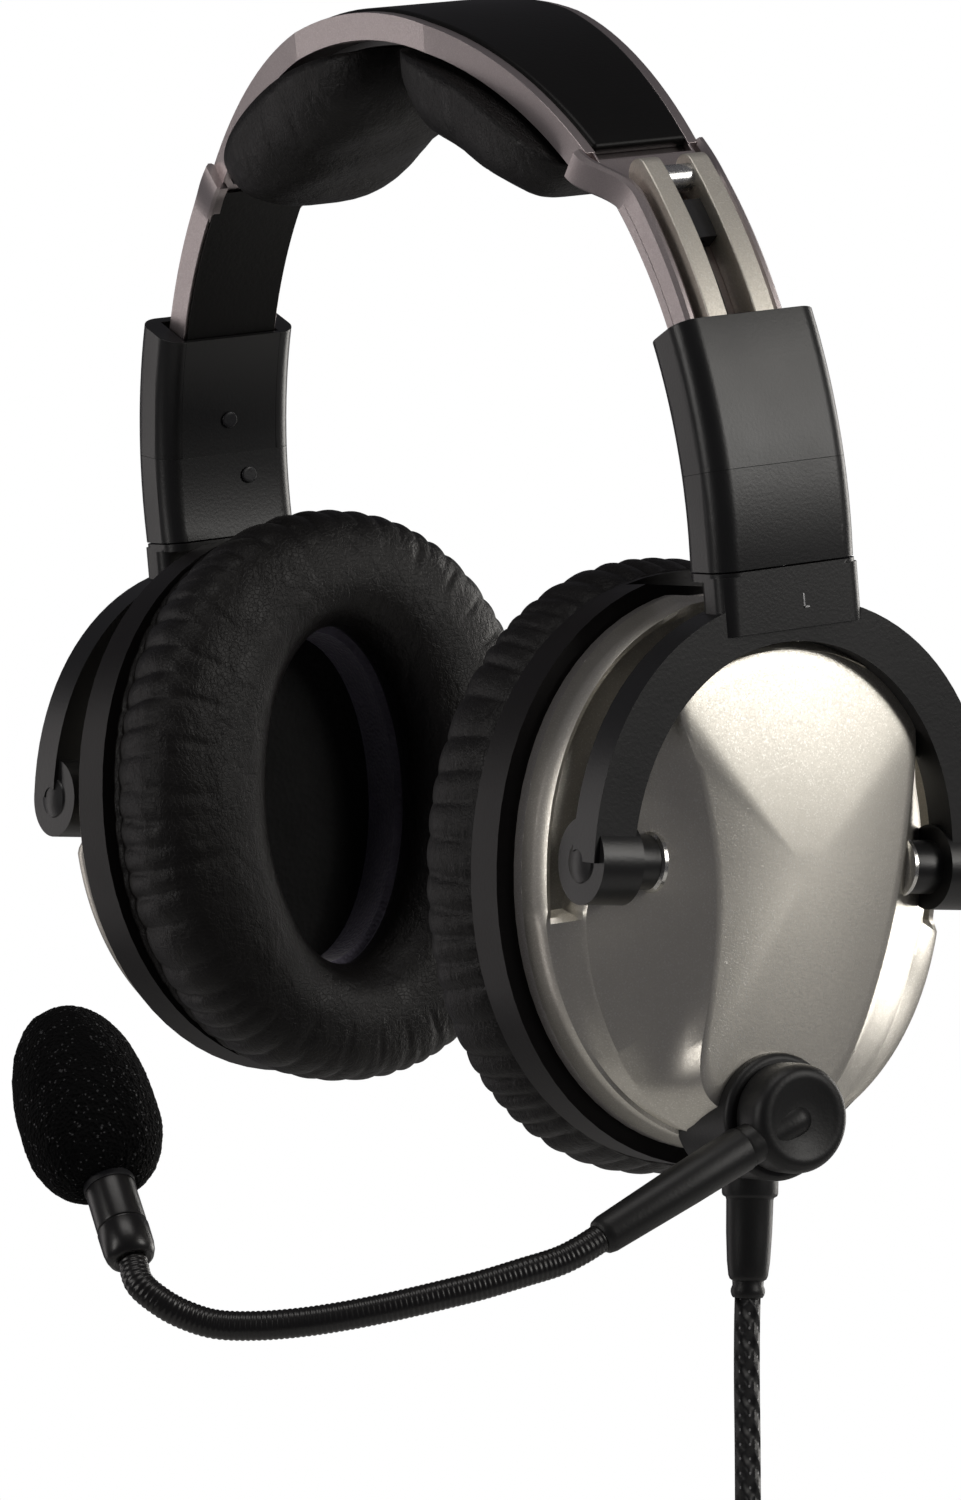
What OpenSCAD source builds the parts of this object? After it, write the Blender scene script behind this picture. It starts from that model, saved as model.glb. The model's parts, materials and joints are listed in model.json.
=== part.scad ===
// Aviation headset: sprung headband, two steel slider rails, yokes, ear cups, boom microphone and cord.
// +Z is up, the wearer faces -Y and the wearer's left is +X.
// The origin is the middle of the headband's underside, where it rests on the crown of the head.

/* [Headband] */
// Outer radius of the crown arch
band_r = 96; // [88:0.5:108]
// Height of the metal rim of the crown arch
band_h = 5; // [4.5:0.1:6]
// Width of the headband over the crown
band_w = 32.4; // [30:0.2:38]
// Width of the headband where it meets the rails
shoulder_w = 23; // [21.5:0.5:25]
// Angle of the crown arch on each side of the middle
crown_half_angle = 44; // [42:0.5:46]
// Thickness of the spring strap under the rails
strap_t = 2; // [1.6:0.1:2.4]
// Width of the spring strap
strap_w = 20; // [18:0.5:21]
// Height of the soft cover over the crown
cover_h = 2.6; // [2:0.1:3]

/* [Crown pads] */
// Length of each crown pad along the arch
pad_len = 62; // [50:1:66]
// Width of each crown pad
pad_w = 36; // [30:1:40]
// Thickness of each crown pad at its middle
pad_t = 16; // [12:0.5:20]
// Gap between the two pads at the middle of the arch
pad_gap = 16; // [8:1:24]

/* [Slider] */
// Width of each slider rail
rail_w = 3.9; // [3:0.1:4.5]
// Height of each slider rail
rail_h = 6.2; // [5:0.1:7]
// Gap between the two rails of a pair
rail_gap = 5.6; // [5:0.1:7]
// Length of rail that shows above the housing
rail_shown = 32; // [28:1:36]
// Travel of the housing towards the crown
slide_in = 22; // [10:1:24]
// Travel of the housing away from the crown
slide_out = 10; // [6:1:12]
// Length of the slider housing
housing_len = 26; // [22:1:32]
// Length of the housing base
base_len = 17; // [14:1:22]
// Thickness of the slider housing's outer wall
housing_wall = 2; // [1.6:0.1:3]
// Width of the slider housing
housing_w = 28.8; // [26:0.2:32]

/* [Yoke] */
// Height of the swivel seam above the tilt axis
yoke_drop = 51.5; // [50:0.5:58]
// Lean of the yoke towards the rear
yoke_pitch = 8.5; // [0:0.5:12]
// Distance that the cup's axis lies behind the swivel axis
yoke_offset = 4; // [0:0.5:6]
// Half width of the yoke's arch inside
yoke_in_y = 32.5; // [32:0.5:36]
// Height of the yoke's arch inside
yoke_in_z = 38.5; // [38:0.5:42]
// Width of the yoke's arms
yoke_arm_w = 8; // [6:0.5:9]
// Thickness of the yoke's arms
yoke_t = 7; // [5:0.5:8]
// Radius of the boss at the end of each arm
boss_r = 7.4; // [6:0.1:8]
// Radius of the tilt pins
pin_r = 2; // [1.5:0.1:2.5]
// Radius of the swivel pin
swivel_r = 2.4; // [2:0.1:2.6]

/* [Cup] */
// Half width of the cup at its rim
cup_y = 42.2; // [40:0.2:46]
// Half height of the cup at its rim
cup_z = 48.9; // [46:0.2:52]
// Depth of the cup shell from the baffle ring to its flat panel
cup_depth = 31; // [28:0.5:34]
// Wall thickness of the cup shell
cup_wall = 2; // [1.5:0.1:2.5]
// Depth of the baffle ring
ring_depth = 8.5; // [6:0.5:9]
// Distance that the baffle ring stands out past the rim
ring_lip = 2.8; // [2:0.1:4]
// Half width of the front panel at its top
panel_top_y = 24; // [20:0.5:26]
// Half width of the front panel at its bottom
panel_low_y = 13.5; // [11:0.5:16]
// Tilt of the left cup, top outwards
left_tilt = -2.5; // [-6:0.5:12]
// Tilt of the right cup, top outwards
right_tilt = 6; // [-6:0.5:12]
// Turn of the right yoke about its swivel
right_yaw = -3.5; // [-12:0.5:12]

/* [Ear cushion] */
// Depth of the ear cushion
cushion_d = 21; // [16:1:23]
// Half width of the ear cushion
cushion_y = 44.4; // [42:0.2:47]
// Half height of the ear cushion
cushion_z = 53.4; // [50:0.2:56]
// Half width of the ear opening
ear_y = 19.5; // [17:0.5:24]
// Half height of the ear opening
ear_z = 33.5; // [30:0.5:36]
// Number of pleats round the cushion
pleats = 36; // [24:4:48]
// Radius of the speaker
speaker_r = 19; // [15:0.5:20]

/* [Boom] */
// Radius of the boom's turning head
puck_r = 9.4; // [8:0.1:10]
// Radius of the boom's base on the cup
boom_base_r = 11; // [10.5:0.1:12]
// Length of the boom's stiff arm from the turning axis
arm_len = 42.6; // [36:0.2:48]
// Diameter of the boom's stiff arm
arm_d = 7.7; // [7:0.1:8]
// Diameter of the gooseneck
gooseneck_d = 5; // [4:0.1:5.4]
// Diameter of the foam windscreen
windscreen_d = 23.6; // [20:0.1:25]
// Length of the foam windscreen
windscreen_len = 37; // [32:0.5:40]

/* [Cord] */
// Diameter of the cord
cord_d = 4.6; // [4:0.1:5]
// Radius of the coil's innermost loop
coil_r = 14; // [13:0.5:20]
// Number of loops in each of the coil's two layers
coil_loops = 5; // [3:1:5]
// Diameter of the headphone plug's pin
phone_plug_d = 6.35; // [6:0.01:7]
// Diameter of the microphone plug's pin
mic_plug_d = 5.23; // [5:0.01:6]

/* [Hidden] */

gap = 0.3;
pin_gap = 0.05;
eps = 0.01;

// Headband arch and the rail arcs on each side of it
arch_z = band_h - band_r;
rail_x = 8;
rail_z = arch_z + 4;
rail_r = band_r - 2.4;
rail_in_r = rail_r - rail_h;
strap_in_r = rail_in_r - strap_t;
liner_t = 0.6;
panel_t = 0.9;
rail_play = 0.4;
rail_engage = 5;
pair_w = 2 * rail_w + rail_gap;

// Angles along the rail arc, measured up from level
seam_z = 10.5;
seam_a = asin(seam_z / rail_r);
function arc_a(len) = len / rail_r * 180 / PI;
housing_a = seam_a + arc_a(housing_len);
rail_top_a = housing_a + arc_a(rail_shown);
rail_low = housing_len - slide_out - rail_engage;
rail_low_a = seam_a + arc_a(rail_low);
base_pocket = slide_in - rail_low + 0.5;

// Slider housing
cavity_out_r = rail_r + rail_play;
cavity_in_r = strap_in_r - liner_t - gap;
housing_out_r = cavity_out_r + housing_wall;
housing_in_r = cavity_in_r - panel_t;
housing_t = housing_out_r - housing_in_r;
cavity_w = strap_w + 2 * gap;
corner_r = 4;
swivel_x = rail_x + housing_in_r + housing_t / 2 + 1;
yoke_set_in = 1.5;
stem_in = 4;
stem_len = 11;
stem_cap = 1.4;
swivel_z = rail_z + seam_z - base_len;

// Cup, held at its tilt axis
cup_pin_n = cup_depth - 4.25;
cup_pin_z = 1;
pocket_y = yoke_in_y - 1.5;
boss_in_y = yoke_in_y - 1.1;
boss_out_y = boss_in_y + yoke_arm_w;
pocket_n = cup_depth - 17;
rim_h = 2.6;
shell_n = ring_depth + 1;
cushion_n = 0;
cushion_face_n = cushion_n - cushion_d;

// Boom, in the cup's own axes: out of the cup, back and up
boom_y = -2.2;
boom_z = -(cup_z - 7);
boom_base_n = cup_depth + 2.2;
seat_in = 17.2;
axle_r = 3;
axle_len = 8;
boom_n = boom_base_n + gap;
puck_h = 7.5;
arm_n = boom_n + puck_h / 2 - 1.2;
arm_drop = 28;
arm_end = [arm_n, boom_y - arm_len * cos(arm_drop), boom_z - arm_len * sin(arm_drop)];

// Cord outlet under the left cup
outlet_n = 12;
outlet_y = 5.6;
relief_len = 22.6;
outlet_z = -(cup_z + ring_lip);

// Hand-chosen round points of the gooseneck, from the end of the arm
gooseneck_path = [
    [0, 0, 0], [0, -3.8, -2.02], [-0.6, -8, -3.9], [-1.4, -14, -5.6], [-3, -21, -7.7], [-5, -28, -9.5], [-7.8, -36, -11.5],
    [-11, -43, -13.1], [-14.5, -49.5, -14.3], [-18.5, -55.5, -15], [-22, -60.8, -14.9],
    [-24.4, -65.2, -13.5], [-26.2, -68.9, -11.4], [-29.18, -71.43, -8.49], [-32.2, -71.2, -5]
];
mic_root = arm_end + gooseneck_path[len(gooseneck_path) - 1];
mic_dir = unit([-2.6, 0.2, 3]);
sleeve_len = 15;
sleeve_r = 4.4;
capsule_len = 12;
// Height of the windscreen's widest place
windscreen_belly = 0.37 * windscreen_len;

// Hand-chosen round points of the cord, down from the strain relief to the coil
cord_path = [
    [0, 0, 0], [0, 0, -5], [0, 0.2, -14], [0, 0.6, -24], [0, 1, -36], [0, 1.4, -50], [0, 1.6, -62], [0, 1.6, -70],
    [0, 1.6, -75]
];
relief_end = [outlet_n, outlet_y, outlet_z - relief_len];
coil_top = relief_end + cord_path[len(cord_path) - 1];

// The coil: two flat layers of loops, in at the front and out again at the back
coil_pitch = cord_d + 1.05;
coil_inner = coil_loops - 0.25;
coil_out_r = coil_r + coil_pitch * coil_inner;
coil_start = coil_top - [0, 0, 2 * cord_d];
function coil_radius(t) =
    t < coil_inner ? coil_r + coil_pitch * (coil_inner - t)
    : t > coil_inner + 0.5 ? coil_r + coil_pitch * (t - coil_inner - 0.5)
    : coil_r;
function coil_layer(t) = coil_pitch * min(max((t - coil_inner) / 0.5, 0), 1);
function coil_point(t) =
    let (r = coil_radius(t), a = 180 + 360 * t)
    coil_start + [coil_layer(t), coil_out_r + r * cos(a), r * sin(a)];
coil_steps = 24 * 2 * coil_loops;
coil_path = concat(
    [coil_top, coil_top - [0, 0, cord_d]],
    [for (i = [0 : coil_steps]) coil_point(i / 24)],
    [for (k = [1, 2]) coil_point(2 * coil_loops) - [0, 0, k * cord_d]]
);
coil_gap = min([
    for (i = [0 : len(coil_path) - 1], j = [i + 16 : 1 : len(coil_path) - 1]) norm(coil_path[i] - coil_path[j])
]) - cord_d;
echo(coil_least_gap = coil_gap);

// Below the coil: the splitter, two leads and their plugs
tail_top = coil_path[len(coil_path) - 1];
tail_path = [[0, 0, 0], [0, 0, -5], [0, 0, -14], [0, 0, -24], [0, 0, -36], [0, 0, -46]];
split_top = tail_top + tail_path[len(tail_path) - 1];
split_len = 24;
split_r = 5.6;
lead_d = 3.6;
lead_path = [
    [0, 2.6, 0], [0, 2.6, -4], [0, 3.4, -12], [0, 5.6, -22], [0, 8.2, -32], [0, 9.4, -42], [0, 9.5, -48], [0, 9.5, -54]
];
plug_top = split_top - [0, 0, split_len] + lead_path[len(lead_path) - 1];
plug_y = lead_path[len(lead_path) - 1][1];
plug_boot = 10;
plug_grip = 28;
plug_grip_r = 6.4;
plug_pin_len = 24;

// Oval helpers
function spow(x, p) = sign(x) * pow(abs(x), p);
function oval_at(a, ry, rz, e) = [ry * spow(cos(a), 2 / e), rz * spow(sin(a), 2 / e)];
function oval(ry, rz, e, n) = [for (i = [0 : n - 1]) oval_at(360 * i / n, ry, rz, e)];
function cat(list) = [for (part = list, item = part) item];
function dot(a, b) = a * b;
function unit(v) = v / norm(v);

// A closed skin over rings of equal length, closed into a loop or capped at both ends
module skin(rings, closed = false) {
    count = len(rings);
    side = len(rings[0]);
    last = closed ? count - 1 : count - 2;
    quads = [
        for (i = [0 : last], j = [0 : side - 1])
            let (k = (i + 1) % count, m = (j + 1) % side)
            [[i * side + j, k * side + j, k * side + m], [i * side + j, k * side + m, i * side + m]]
    ];
    caps = closed ? [] : [
        [for (j = [1 : side - 2]) [0, j, j + 1]],
        [for (j = [1 : side - 2]) [(count - 1) * side, (count - 1) * side + j + 1, (count - 1) * side + j]]
    ];
    polyhedron(points = cat(rings), faces = cat(concat(quads, caps)), convexity = 8);
}

// A round tube swept along points, its rings carried on without twist
function sweep_dirs(path) = [
    for (i = [0 : len(path) - 1])
        unit(path[min(i + 1, len(path) - 1)] - path[max(i - 1, 0)])
];
function carried(dirs, start) = [
    for (i = 0, v = start; i < len(dirs);
         i = i + 1, v = i < len(dirs) ? unit(v - dirs[i] * dot(v, dirs[i])) : v) v
];
module tube(path, d, sides, start = [1, 0, 0]) {
    dirs = sweep_dirs(path);
    first = unit(start - dirs[0] * dot(start, dirs[0]));
    across = carried(dirs, first);
    skin([
        for (i = [0 : len(path) - 1])
            [for (j = [0 : sides - 1])
                path[i] + d / 2 * (across[i] * cos(360 * j / sides)
                    - cross(dirs[i], across[i]) * sin(360 * j / sides))]
    ]);
}

// A rectangle with rounded corners, made of plain shapes
module soft_rect(w, h, r) {
    square([w - 2 * r, h], center = true);
    square([w, h - 2 * r], center = true);
    for (sx = [-1, 1], sy = [-1, 1])
        translate([sx * (w / 2 - r), sy * (h / 2 - r)]) circle(r = r, $fn = 48);
}

// A cross-section swept along the left rail arc between two angles, x being the radius
module along_rail(low, high) {
    translate([rail_x, 0, rail_z])
        rotate([90, 0, 0])
            rotate([0, 0, low])
                rotate_extrude(angle = high - low, $fn = 180) children();
}

// A cross-section swept along the crown arch between two angles from the middle
module along_crown(low, high) {
    translate([0, 0, arch_z])
        rotate([90, 0, 0])
            rotate([0, 0, 90 - high])
                rotate_extrude(angle = high - low, $fn = 180) children();
}

// Flat outlines in the headband's own plane, and their extrusion across it
function polar(a) = [cos(a), sin(a)];
module arc_band(inner, outer, low, high) {
    steps = ceil((high - low) / 2);
    polygon([
        for (i = [0 : steps]) outer * polar(low + (high - low) * i / steps),
        for (i = [steps : -1 : 0]) inner * polar(low + (high - low) * i / steps)
    ]);
}
module upright(w) {
    rotate([90, 0, 0]) linear_extrude(w, center = true, convexity = 4) children();
}

// Places: the yoke turns about its swivel, and the cup tilts in the yoke
module place_side(side) {
    if (side > 0) children();
    else mirror([1, 0, 0]) children();
}
module place_yoke(side) {
    place_side(side)
        translate([swivel_x, 0, swivel_z])
            rotate([0, 0, side > 0 ? 0 : right_yaw]) children();
}
module place_pivot(side) {
    place_yoke(side)
        rotate([-yoke_pitch, 0, 0])
            translate([-yoke_set_in, yoke_offset, -yoke_drop]) children();
}
module place_cup(side) {
    place_pivot(side)
        rotate([0, side > 0 ? left_tilt : right_tilt, 0])
            translate([-cup_pin_n, 0, -cup_pin_z]) children();
}
// Lays a flat outline in the cup's plane and gives it depth from one level to another
module across_cup(low, high) {
    translate([low, 0, 0])
        rotate([90, 0, 90]) linear_extrude(high - low, convexity = 6) children();
}

// ---- Headband ----
// The headband from above, narrowing from the crown to the shoulders
module plan_outline(inset) {
    flat = band_w / 2 - inset;
    narrow = shoulder_w / 2 - inset;
    near = band_r * 0.24;
    far = band_r * sin(crown_half_angle);
    polygon([
        [-far - 20, -narrow], [-far, -narrow], [-near, -flat], [near, -flat], [far, -narrow],
        [far + 20, -narrow], [far + 20, narrow], [far, narrow], [near, flat], [-near, flat],
        [-far, narrow], [-far - 20, narrow]
    ]);
}
module within_plan(inset) {
    intersection() {
        children();
        translate([0, 0, arch_z]) linear_extrude(band_r + 10) plan_outline(inset);
    }
}
module headband_frame() {
    color("dimgray")
        difference() {
            union() {
                within_plan(0)
                    upright(2 * band_w)
                        translate([0, arch_z])
                            arc_band(band_r - band_h, band_r, 90 - crown_half_angle, 90 + crown_half_angle);
                for (side = [-1, 1])
                    place_side(side)
                        upright(strap_w)
                            translate([rail_x, rail_z])
                                arc_band(strap_in_r, rail_in_r, rail_low_a, crown_half_angle + 12);
            }
            cover_space(2, 1);
        }
}
// The channel in the top of the rim that the cover lies in
module cover_space(inset, over) {
    within_plan(inset)
        along_crown(-crown_half_angle - over, crown_half_angle + over)
            translate([band_r - 2, -band_w]) square([2 + over, 2 * band_w]);
}
module headband_cover() {
    color("#17171a")
        within_plan(2)
            along_crown(-crown_half_angle + 0.5, crown_half_angle - 0.5)
                translate([band_r - 2, -band_w]) square([cover_h, 2 * band_w]);
}
module strap_liner(side) {
    color("#0f0f11")
        place_side(side)
            along_rail(rail_low_a, crown_half_angle + 1)
                translate([strap_in_r - liner_t - pin_gap, -strap_w / 2 + 0.5]) square([liner_t, strap_w - 1]);
}
// Thin carrier under the arch that the pads are sewn to
mount_t = 1.2;
mount_top_r = band_r - band_h - pin_gap;
pad_in_a = pad_gap / 2 / band_r * 180 / PI;
pad_out_a = pad_in_a + pad_len / band_r * 180 / PI;
module crown_pad_mount() {
    color("#111113")
        along_crown(-crown_half_angle + 1, crown_half_angle - 1)
            translate([mount_top_r - mount_t, -shoulder_w / 2 + 1]) square([mount_t, shoulder_w - 2]);
}
// One pad: rings from end to end, plump in the middle and drawn in at the sides
pad_rings = 20;
pad_side = 16;
pad_top_r = mount_top_r - mount_t - pin_gap;
function pad_swell(u) = pow(1 - pow(abs(2 * u - 1), 3), 0.45);
function pad_point(u, t) =
    let (a = pad_in_a + (pad_out_a - pad_in_a) * u, f = max(pad_swell(u), 0.12), c = cos(t), s = sin(t))
    let (y = pad_w / 2 * (0.35 + 0.65 * f) * spow(c, 0.75))
    let (drop = s > 0 ? 0 : pad_t * f * pow(-s, 0.8))
    let (r = pad_top_r - drop - (s > 0 ? gap * (1 - s) : gap + 0.6 * pow(-s, 0.3)))
    [r * sin(a), y, arch_z + r * cos(a)];
module crown_pad(side) {
    color("#1c1b1d")
        place_side(side)
            skin([
                for (i = [0 : pad_rings - 1])
                    [for (j = [0 : pad_side - 1])
                        pad_point(i / (pad_rings - 1), 360 * (j + 0.5) / pad_side)]
            ]);
}

// ---- Sliders ----
// One rail from the side, with a round top end
module rail_outline() {
    mid = rail_in_r + rail_h / 2;
    steps = 24;
    sweep = rail_top_a - rail_low_a;
    polygon([
        for (i = [0 : steps]) rail_r * polar(rail_low_a + sweep * i / steps),
        for (i = [1 : 11]) mid * polar(rail_top_a) + rail_h / 2 * polar(rail_top_a + 180 * i / 12),
        for (i = [steps : -1 : 0]) rail_in_r * polar(rail_low_a + sweep * i / steps)
    ]);
}
module slider_rails(side) {
    color("#b7b4a6")
        place_side(side) {
            for (s = [-1, 1])
                translate([rail_x, s * (rail_gap + rail_w) / 2, rail_z])
                    upright(rail_w) rail_outline();
            translate([rail_x, 0, rail_z])
                upright(rail_gap + 2 * eps) arc_band(rail_in_r + 2, rail_r - 0.5, rail_low_a, rail_low_a + 2);
        }
}
module rail_crossbars() {
    color("silver")
        for (side = [-1, 1])
            place_side(side)
                translate([rail_x, 0, rail_z]) rotate([0, -rail_top_a + 0.8, 0])
                    translate([rail_in_r + rail_h / 2, 0, 0]) rotate([90, 0, 0])
                        cylinder(r = rail_h / 2 - 0.7, h = rail_gap, center = true, $fn = 48);
}
module rail_clips() {
    color("#2b2b2e")
        for (side = [-1, 1])
            place_side(side)
                difference() {
                    along_rail(rail_top_a - 9, rail_top_a - 4)
                        translate([rail_in_r, -rail_gap / 2]) square([rail_h * 0.55, rail_gap]);
                    along_rail(rail_top_a - 9.5, rail_top_a - 3.5)
                        translate([rail_in_r - 1, -wire_d / 2 - 0.2]) square([wire_d + 1.4, wire_d + 0.4]);
                }
}
wire_d = 1.6;
// The wire that joins the two cups runs in the slot between the rails
module crossover_wire() {
    color("black")
        for (side = [-1, 1])
            place_side(side)
                tube([
                    for (i = [0 : 24])
                        let (a = rail_low_a + 3 + (rail_top_a - 6 - rail_low_a) * i / 24)
                        let (r = rail_in_r + wire_d / 2 + 0.05)
                        [rail_x + r * cos(a), 0, rail_z + r * sin(a)]
                ], wire_d, 8, [0, 1, 0]);
}
module slider_housing(side) {
    color("#151517")
        place_side(side)
            difference() {
                along_rail(seam_a, housing_a)
                    translate([housing_in_r + housing_t / 2, 0]) soft_rect(housing_t, housing_w, corner_r);
                along_rail(seam_a - 2, housing_a + 2)
                    translate([housing_in_r - 1, -cavity_w / 2]) square([cavity_out_r - housing_in_r + 1, cavity_w]);
            }
}
module inner_panel(side) {
    color("#121214")
        place_side(side)
            along_rail(seam_a, housing_a)
                translate([housing_in_r, -cavity_w / 2]) square([panel_t, cavity_w]);
}
// Small screws in the inner faces of the housing and its base
screw_r = 1.6;
module housing_screws(side) {
    color("#2a2a2c")
        place_side(side)
            for (lift = [7.5, -5])
                translate([rail_x, 0, rail_z]) rotate([0, -seam_a - arc_a(lift), 0])
                    translate([housing_in_r - pin_gap, lift > 0 ? 0 : 4, 0]) rotate([0, -90, 0])
                        cylinder(r = screw_r, h = 0.5, $fn = 32);
}
module housing_base(side) {
    color("#151517")
        place_side(side)
            difference() {
                intersection() {
                    along_rail(seam_a - arc_a(base_len) - 3, seam_a)
                        translate([housing_in_r + housing_t / 2, 0]) soft_rect(housing_t, housing_w, corner_r);
                    translate([0, -housing_w, swivel_z]) cube([2 * band_r, 2 * housing_w, base_len * 2]);
                }
                along_rail(seam_a - arc_a(base_pocket), seam_a + 2)
                    translate([cavity_in_r, -cavity_w / 2]) square([cavity_out_r - cavity_in_r, cavity_w]);
                translate([swivel_x, 0, swivel_z - 1])
                    cylinder(r = swivel_r + pin_gap, h = 1 + base_len - base_pocket, $fn = 64);
            }
}
module swivel_pin(side) {
    color("silver")
        place_side(side)
            translate([swivel_x, 0, swivel_z - stem_len + 2])
                cylinder(r = swivel_r, h = stem_len - 2 + base_len - base_pocket - 1.5, $fn = 64);
}

// ---- Yokes ----
module yoke_arch_outline() {
    difference() {
        polygon(oval(boss_out_y + 1, yoke_in_z + 7.5, 2.15, 96));
        polygon(oval(yoke_in_y, yoke_in_z, 2.05, 96));
        translate([-60, -60]) square([120, 60]);
    }
}
module yoke(side) {
    color("#141416")
        difference() {
            union() {
                place_yoke(side) {
                    translate([-1, 0, -stem_cap - gap])
                        linear_extrude(stem_cap) soft_rect(housing_t, housing_w, corner_r);
                    translate([housing_t / 4 - 2.1, 0, -stem_len])
                        linear_extrude(stem_len - 1) soft_rect(housing_t - stem_in, housing_w, 3);
                }
                place_pivot(side) {
                    across_cup(yoke_low, yoke_low + yoke_t) yoke_arch_outline();
                    for (s = [-1, 1])
                        translate([0, s * (boss_in_y + boss_out_y) / 2, 0]) rotate([90, 0, 0])
                            cylinder(r = boss_r, h = yoke_arm_w, center = true, $fn = 72);
                }
            }
            place_side(side)
                translate([swivel_x, 0, swivel_z - stem_len + 2])
                    cylinder(r = swivel_r, h = stem_len, $fn = 64);
            place_pivot(side)
                rotate([90, 0, 0]) cylinder(r = pin_r, h = 4 * boss_out_y, center = true, $fn = 48);
        }
}
yoke_low = -1.25;
pin_reach = 6.5;
module tilt_pins(side) {
    color("silver")
        place_pivot(side)
            for (s = [-1, 1])
                translate([0, s * (boss_out_y - 1), 0]) rotate([s * 90, 0, 0])
                    cylinder(r = pin_r, h = boss_out_y - 1 - boss_in_y + pin_reach, $fn = 48);
}

// ---- Cups ----
// Space round the shell that the yoke's arch and bosses swing in
module yoke_pocket(grow) {
    across_cup(pocket_n - grow, cup_depth + 10)
        difference() {
            translate([-60, -boss_r - 1.6 + cup_pin_z - grow]) square([120, 120]);
            translate([0, cup_pin_z]) polygon(oval(pocket_y - grow, yoke_in_z - 1.3 - grow, 2.05, 96));
            translate([-pocket_y + grow, -60]) square([2 * (pocket_y - grow), 60 + cup_pin_z]);
        }
}
// The cup is flattened under the yoke's stem, which it would meet when it tilts out
stem_flat = 2;
module stem_space(low, lip) {
    across_cup(low, cup_depth + 10)
        translate([-cup_y, cup_z + lip - stem_flat]) square([2 * cup_y, 3 * stem_flat]);
}
// The oval of the rim and the narrower outline of the panel, joined by slanted side faces
module shell_form(shrink, low) {
    hull() {
        across_cup(low, shell_n + rim_h + 0.4) polygon(oval(cup_y - shrink, cup_z - shrink, 2.1, 72));
        across_cup(cup_depth - shrink - 0.5, cup_depth - shrink) panel_outline(shrink * 0.6);
    }
}
module panel_outline(shrink) {
    top = yoke_in_z - 0.6 - shrink;
    polygon([
        for (i = [0 : 12])
            let (a = 40 + 100 * i / 12)
            [(panel_top_y - shrink) * cos(a) / cos(40), cup_pin_z + 24 + (top - 24) * sin(a) - 0],
        for (i = [0 : 6])
            let (z = 14 - 46 * i / 6)
            [-(panel_low_y - shrink + (panel_top_y - panel_low_y) * pow((z + 32) / 56, 1.25)), z],
        for (i = [0 : 6])
            let (z = -32 + 46 * i / 6)
            [panel_low_y - shrink + (panel_top_y - panel_low_y) * pow((z + 32) / 56, 1.25), z]
    ]);
}
module outlet_neck_space() {
    translate([outlet_n, outlet_y, -cup_z - 10]) cylinder(r = neck_r, h = 18, $fn = 48);
}
neck_r = 2.4;
module cup_shell(side) {
    color("#a59f8f")
        place_cup(side)
            difference() {
                union() {
                    difference() {
                        shell_form(0, shell_n + rim_h);
                        difference() {
                            shell_form(cup_wall, 0);
                            yoke_pocket(cup_wall);
                        }
                        yoke_pocket(0);
                    }
                    for (s = [-1, 1])
                        translate([cup_pin_n, s * (pocket_y - 4), cup_pin_z]) rotate([90, 0, 0])
                            cylinder(r = pin_r + 2.2, h = 8, center = true, $fn = 48);
                }
                translate([cup_pin_n, 0, cup_pin_z]) rotate([90, 0, 0])
                    cylinder(r = pin_r + pin_gap, h = 4 * cup_y, center = true, $fn = 48);
                stem_space(ring_depth + 0.5, 0);
                if (side > 0) {
                    boom_seat(boom_base_r);
                    outlet_neck_space();
                }
            }
}
module boom_seat(r) {
    translate([boom_base_n - seat_in, boom_y, boom_z]) rotate([0, 90, 0])
        cylinder(r = r, h = 2 * seat_in, $fn = 72);
}
module rim(side) {
    color("#c4c4c2")
        place_cup(side)
            difference() {
                union() {
                    across_cup(ring_depth, shell_n) polygon(oval(cup_y - 1.2, cup_z - 1.2, 2.1, 72));
                    across_cup(shell_n, shell_n + rim_h) polygon(oval(cup_y, cup_z, 2.1, 72));
                }
                across_cup(0, 40) polygon(oval(cup_y - 4, cup_z - 4, 2.1, 72));
                stem_space(ring_depth + 0.5, 0);
                if (side > 0) outlet_neck_space();
            }
}
module baffle_ring(side) {
    color("#2a2827")
        place_cup(side)
            difference() {
                across_cup(0, ring_depth) polygon(oval(cup_y + ring_lip, cup_z + ring_lip, 2.1, 72));
                across_cup(2, 40) polygon(oval(cup_y - 4, cup_z - 4, 2.1, 72));
                across_cup(-5, 40) polygon(oval(ear_y - 0.4, ear_z - 0.4, 2.05, 72));
                stem_space(2, ring_lip - 1);
            }
}
baffle_n = 5;
baffle_t = 1.8;
speaker_t = 3;
magnet_t = 7;
board_w = 36;
board_h = 52;
board_t = 1.6;
post_len = 8;
module baffle(side) {
    color("#101011")
        place_cup(side)
            difference() {
                across_cup(baffle_n, baffle_n + baffle_t) polygon(oval(cup_y - 4, cup_z - 4, 2.1, 72));
                translate([0, 0, 0]) rotate([0, 90, 0]) cylinder(r = speaker_r, h = 60, $fn = 72);
            }
}
module speaker(side) {
    color("#26262a")
        place_cup(side)
            translate([baffle_n, 0, 0]) rotate([0, 90, 0]) {
                cylinder(r = speaker_r - pin_gap, h = speaker_t, $fn = 72);
                cylinder(r = speaker_r * 0.6, h = magnet_t, $fn = 72);
            }
}
liner_wall = 1.6;
liner_reach = 5;
module ear_liner(side) {
    color("#6b6775")
        place_cup(side)
            difference() {
                across_cup(-liner_reach, baffle_n) polygon(oval(ear_y - 0.4, ear_z - 0.4, 2.05, 72));
                across_cup(-40, 40) polygon(oval(ear_y - liner_wall - 0.4, ear_z - liner_wall - 0.4, 2.05, 72));
            }
}
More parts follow.
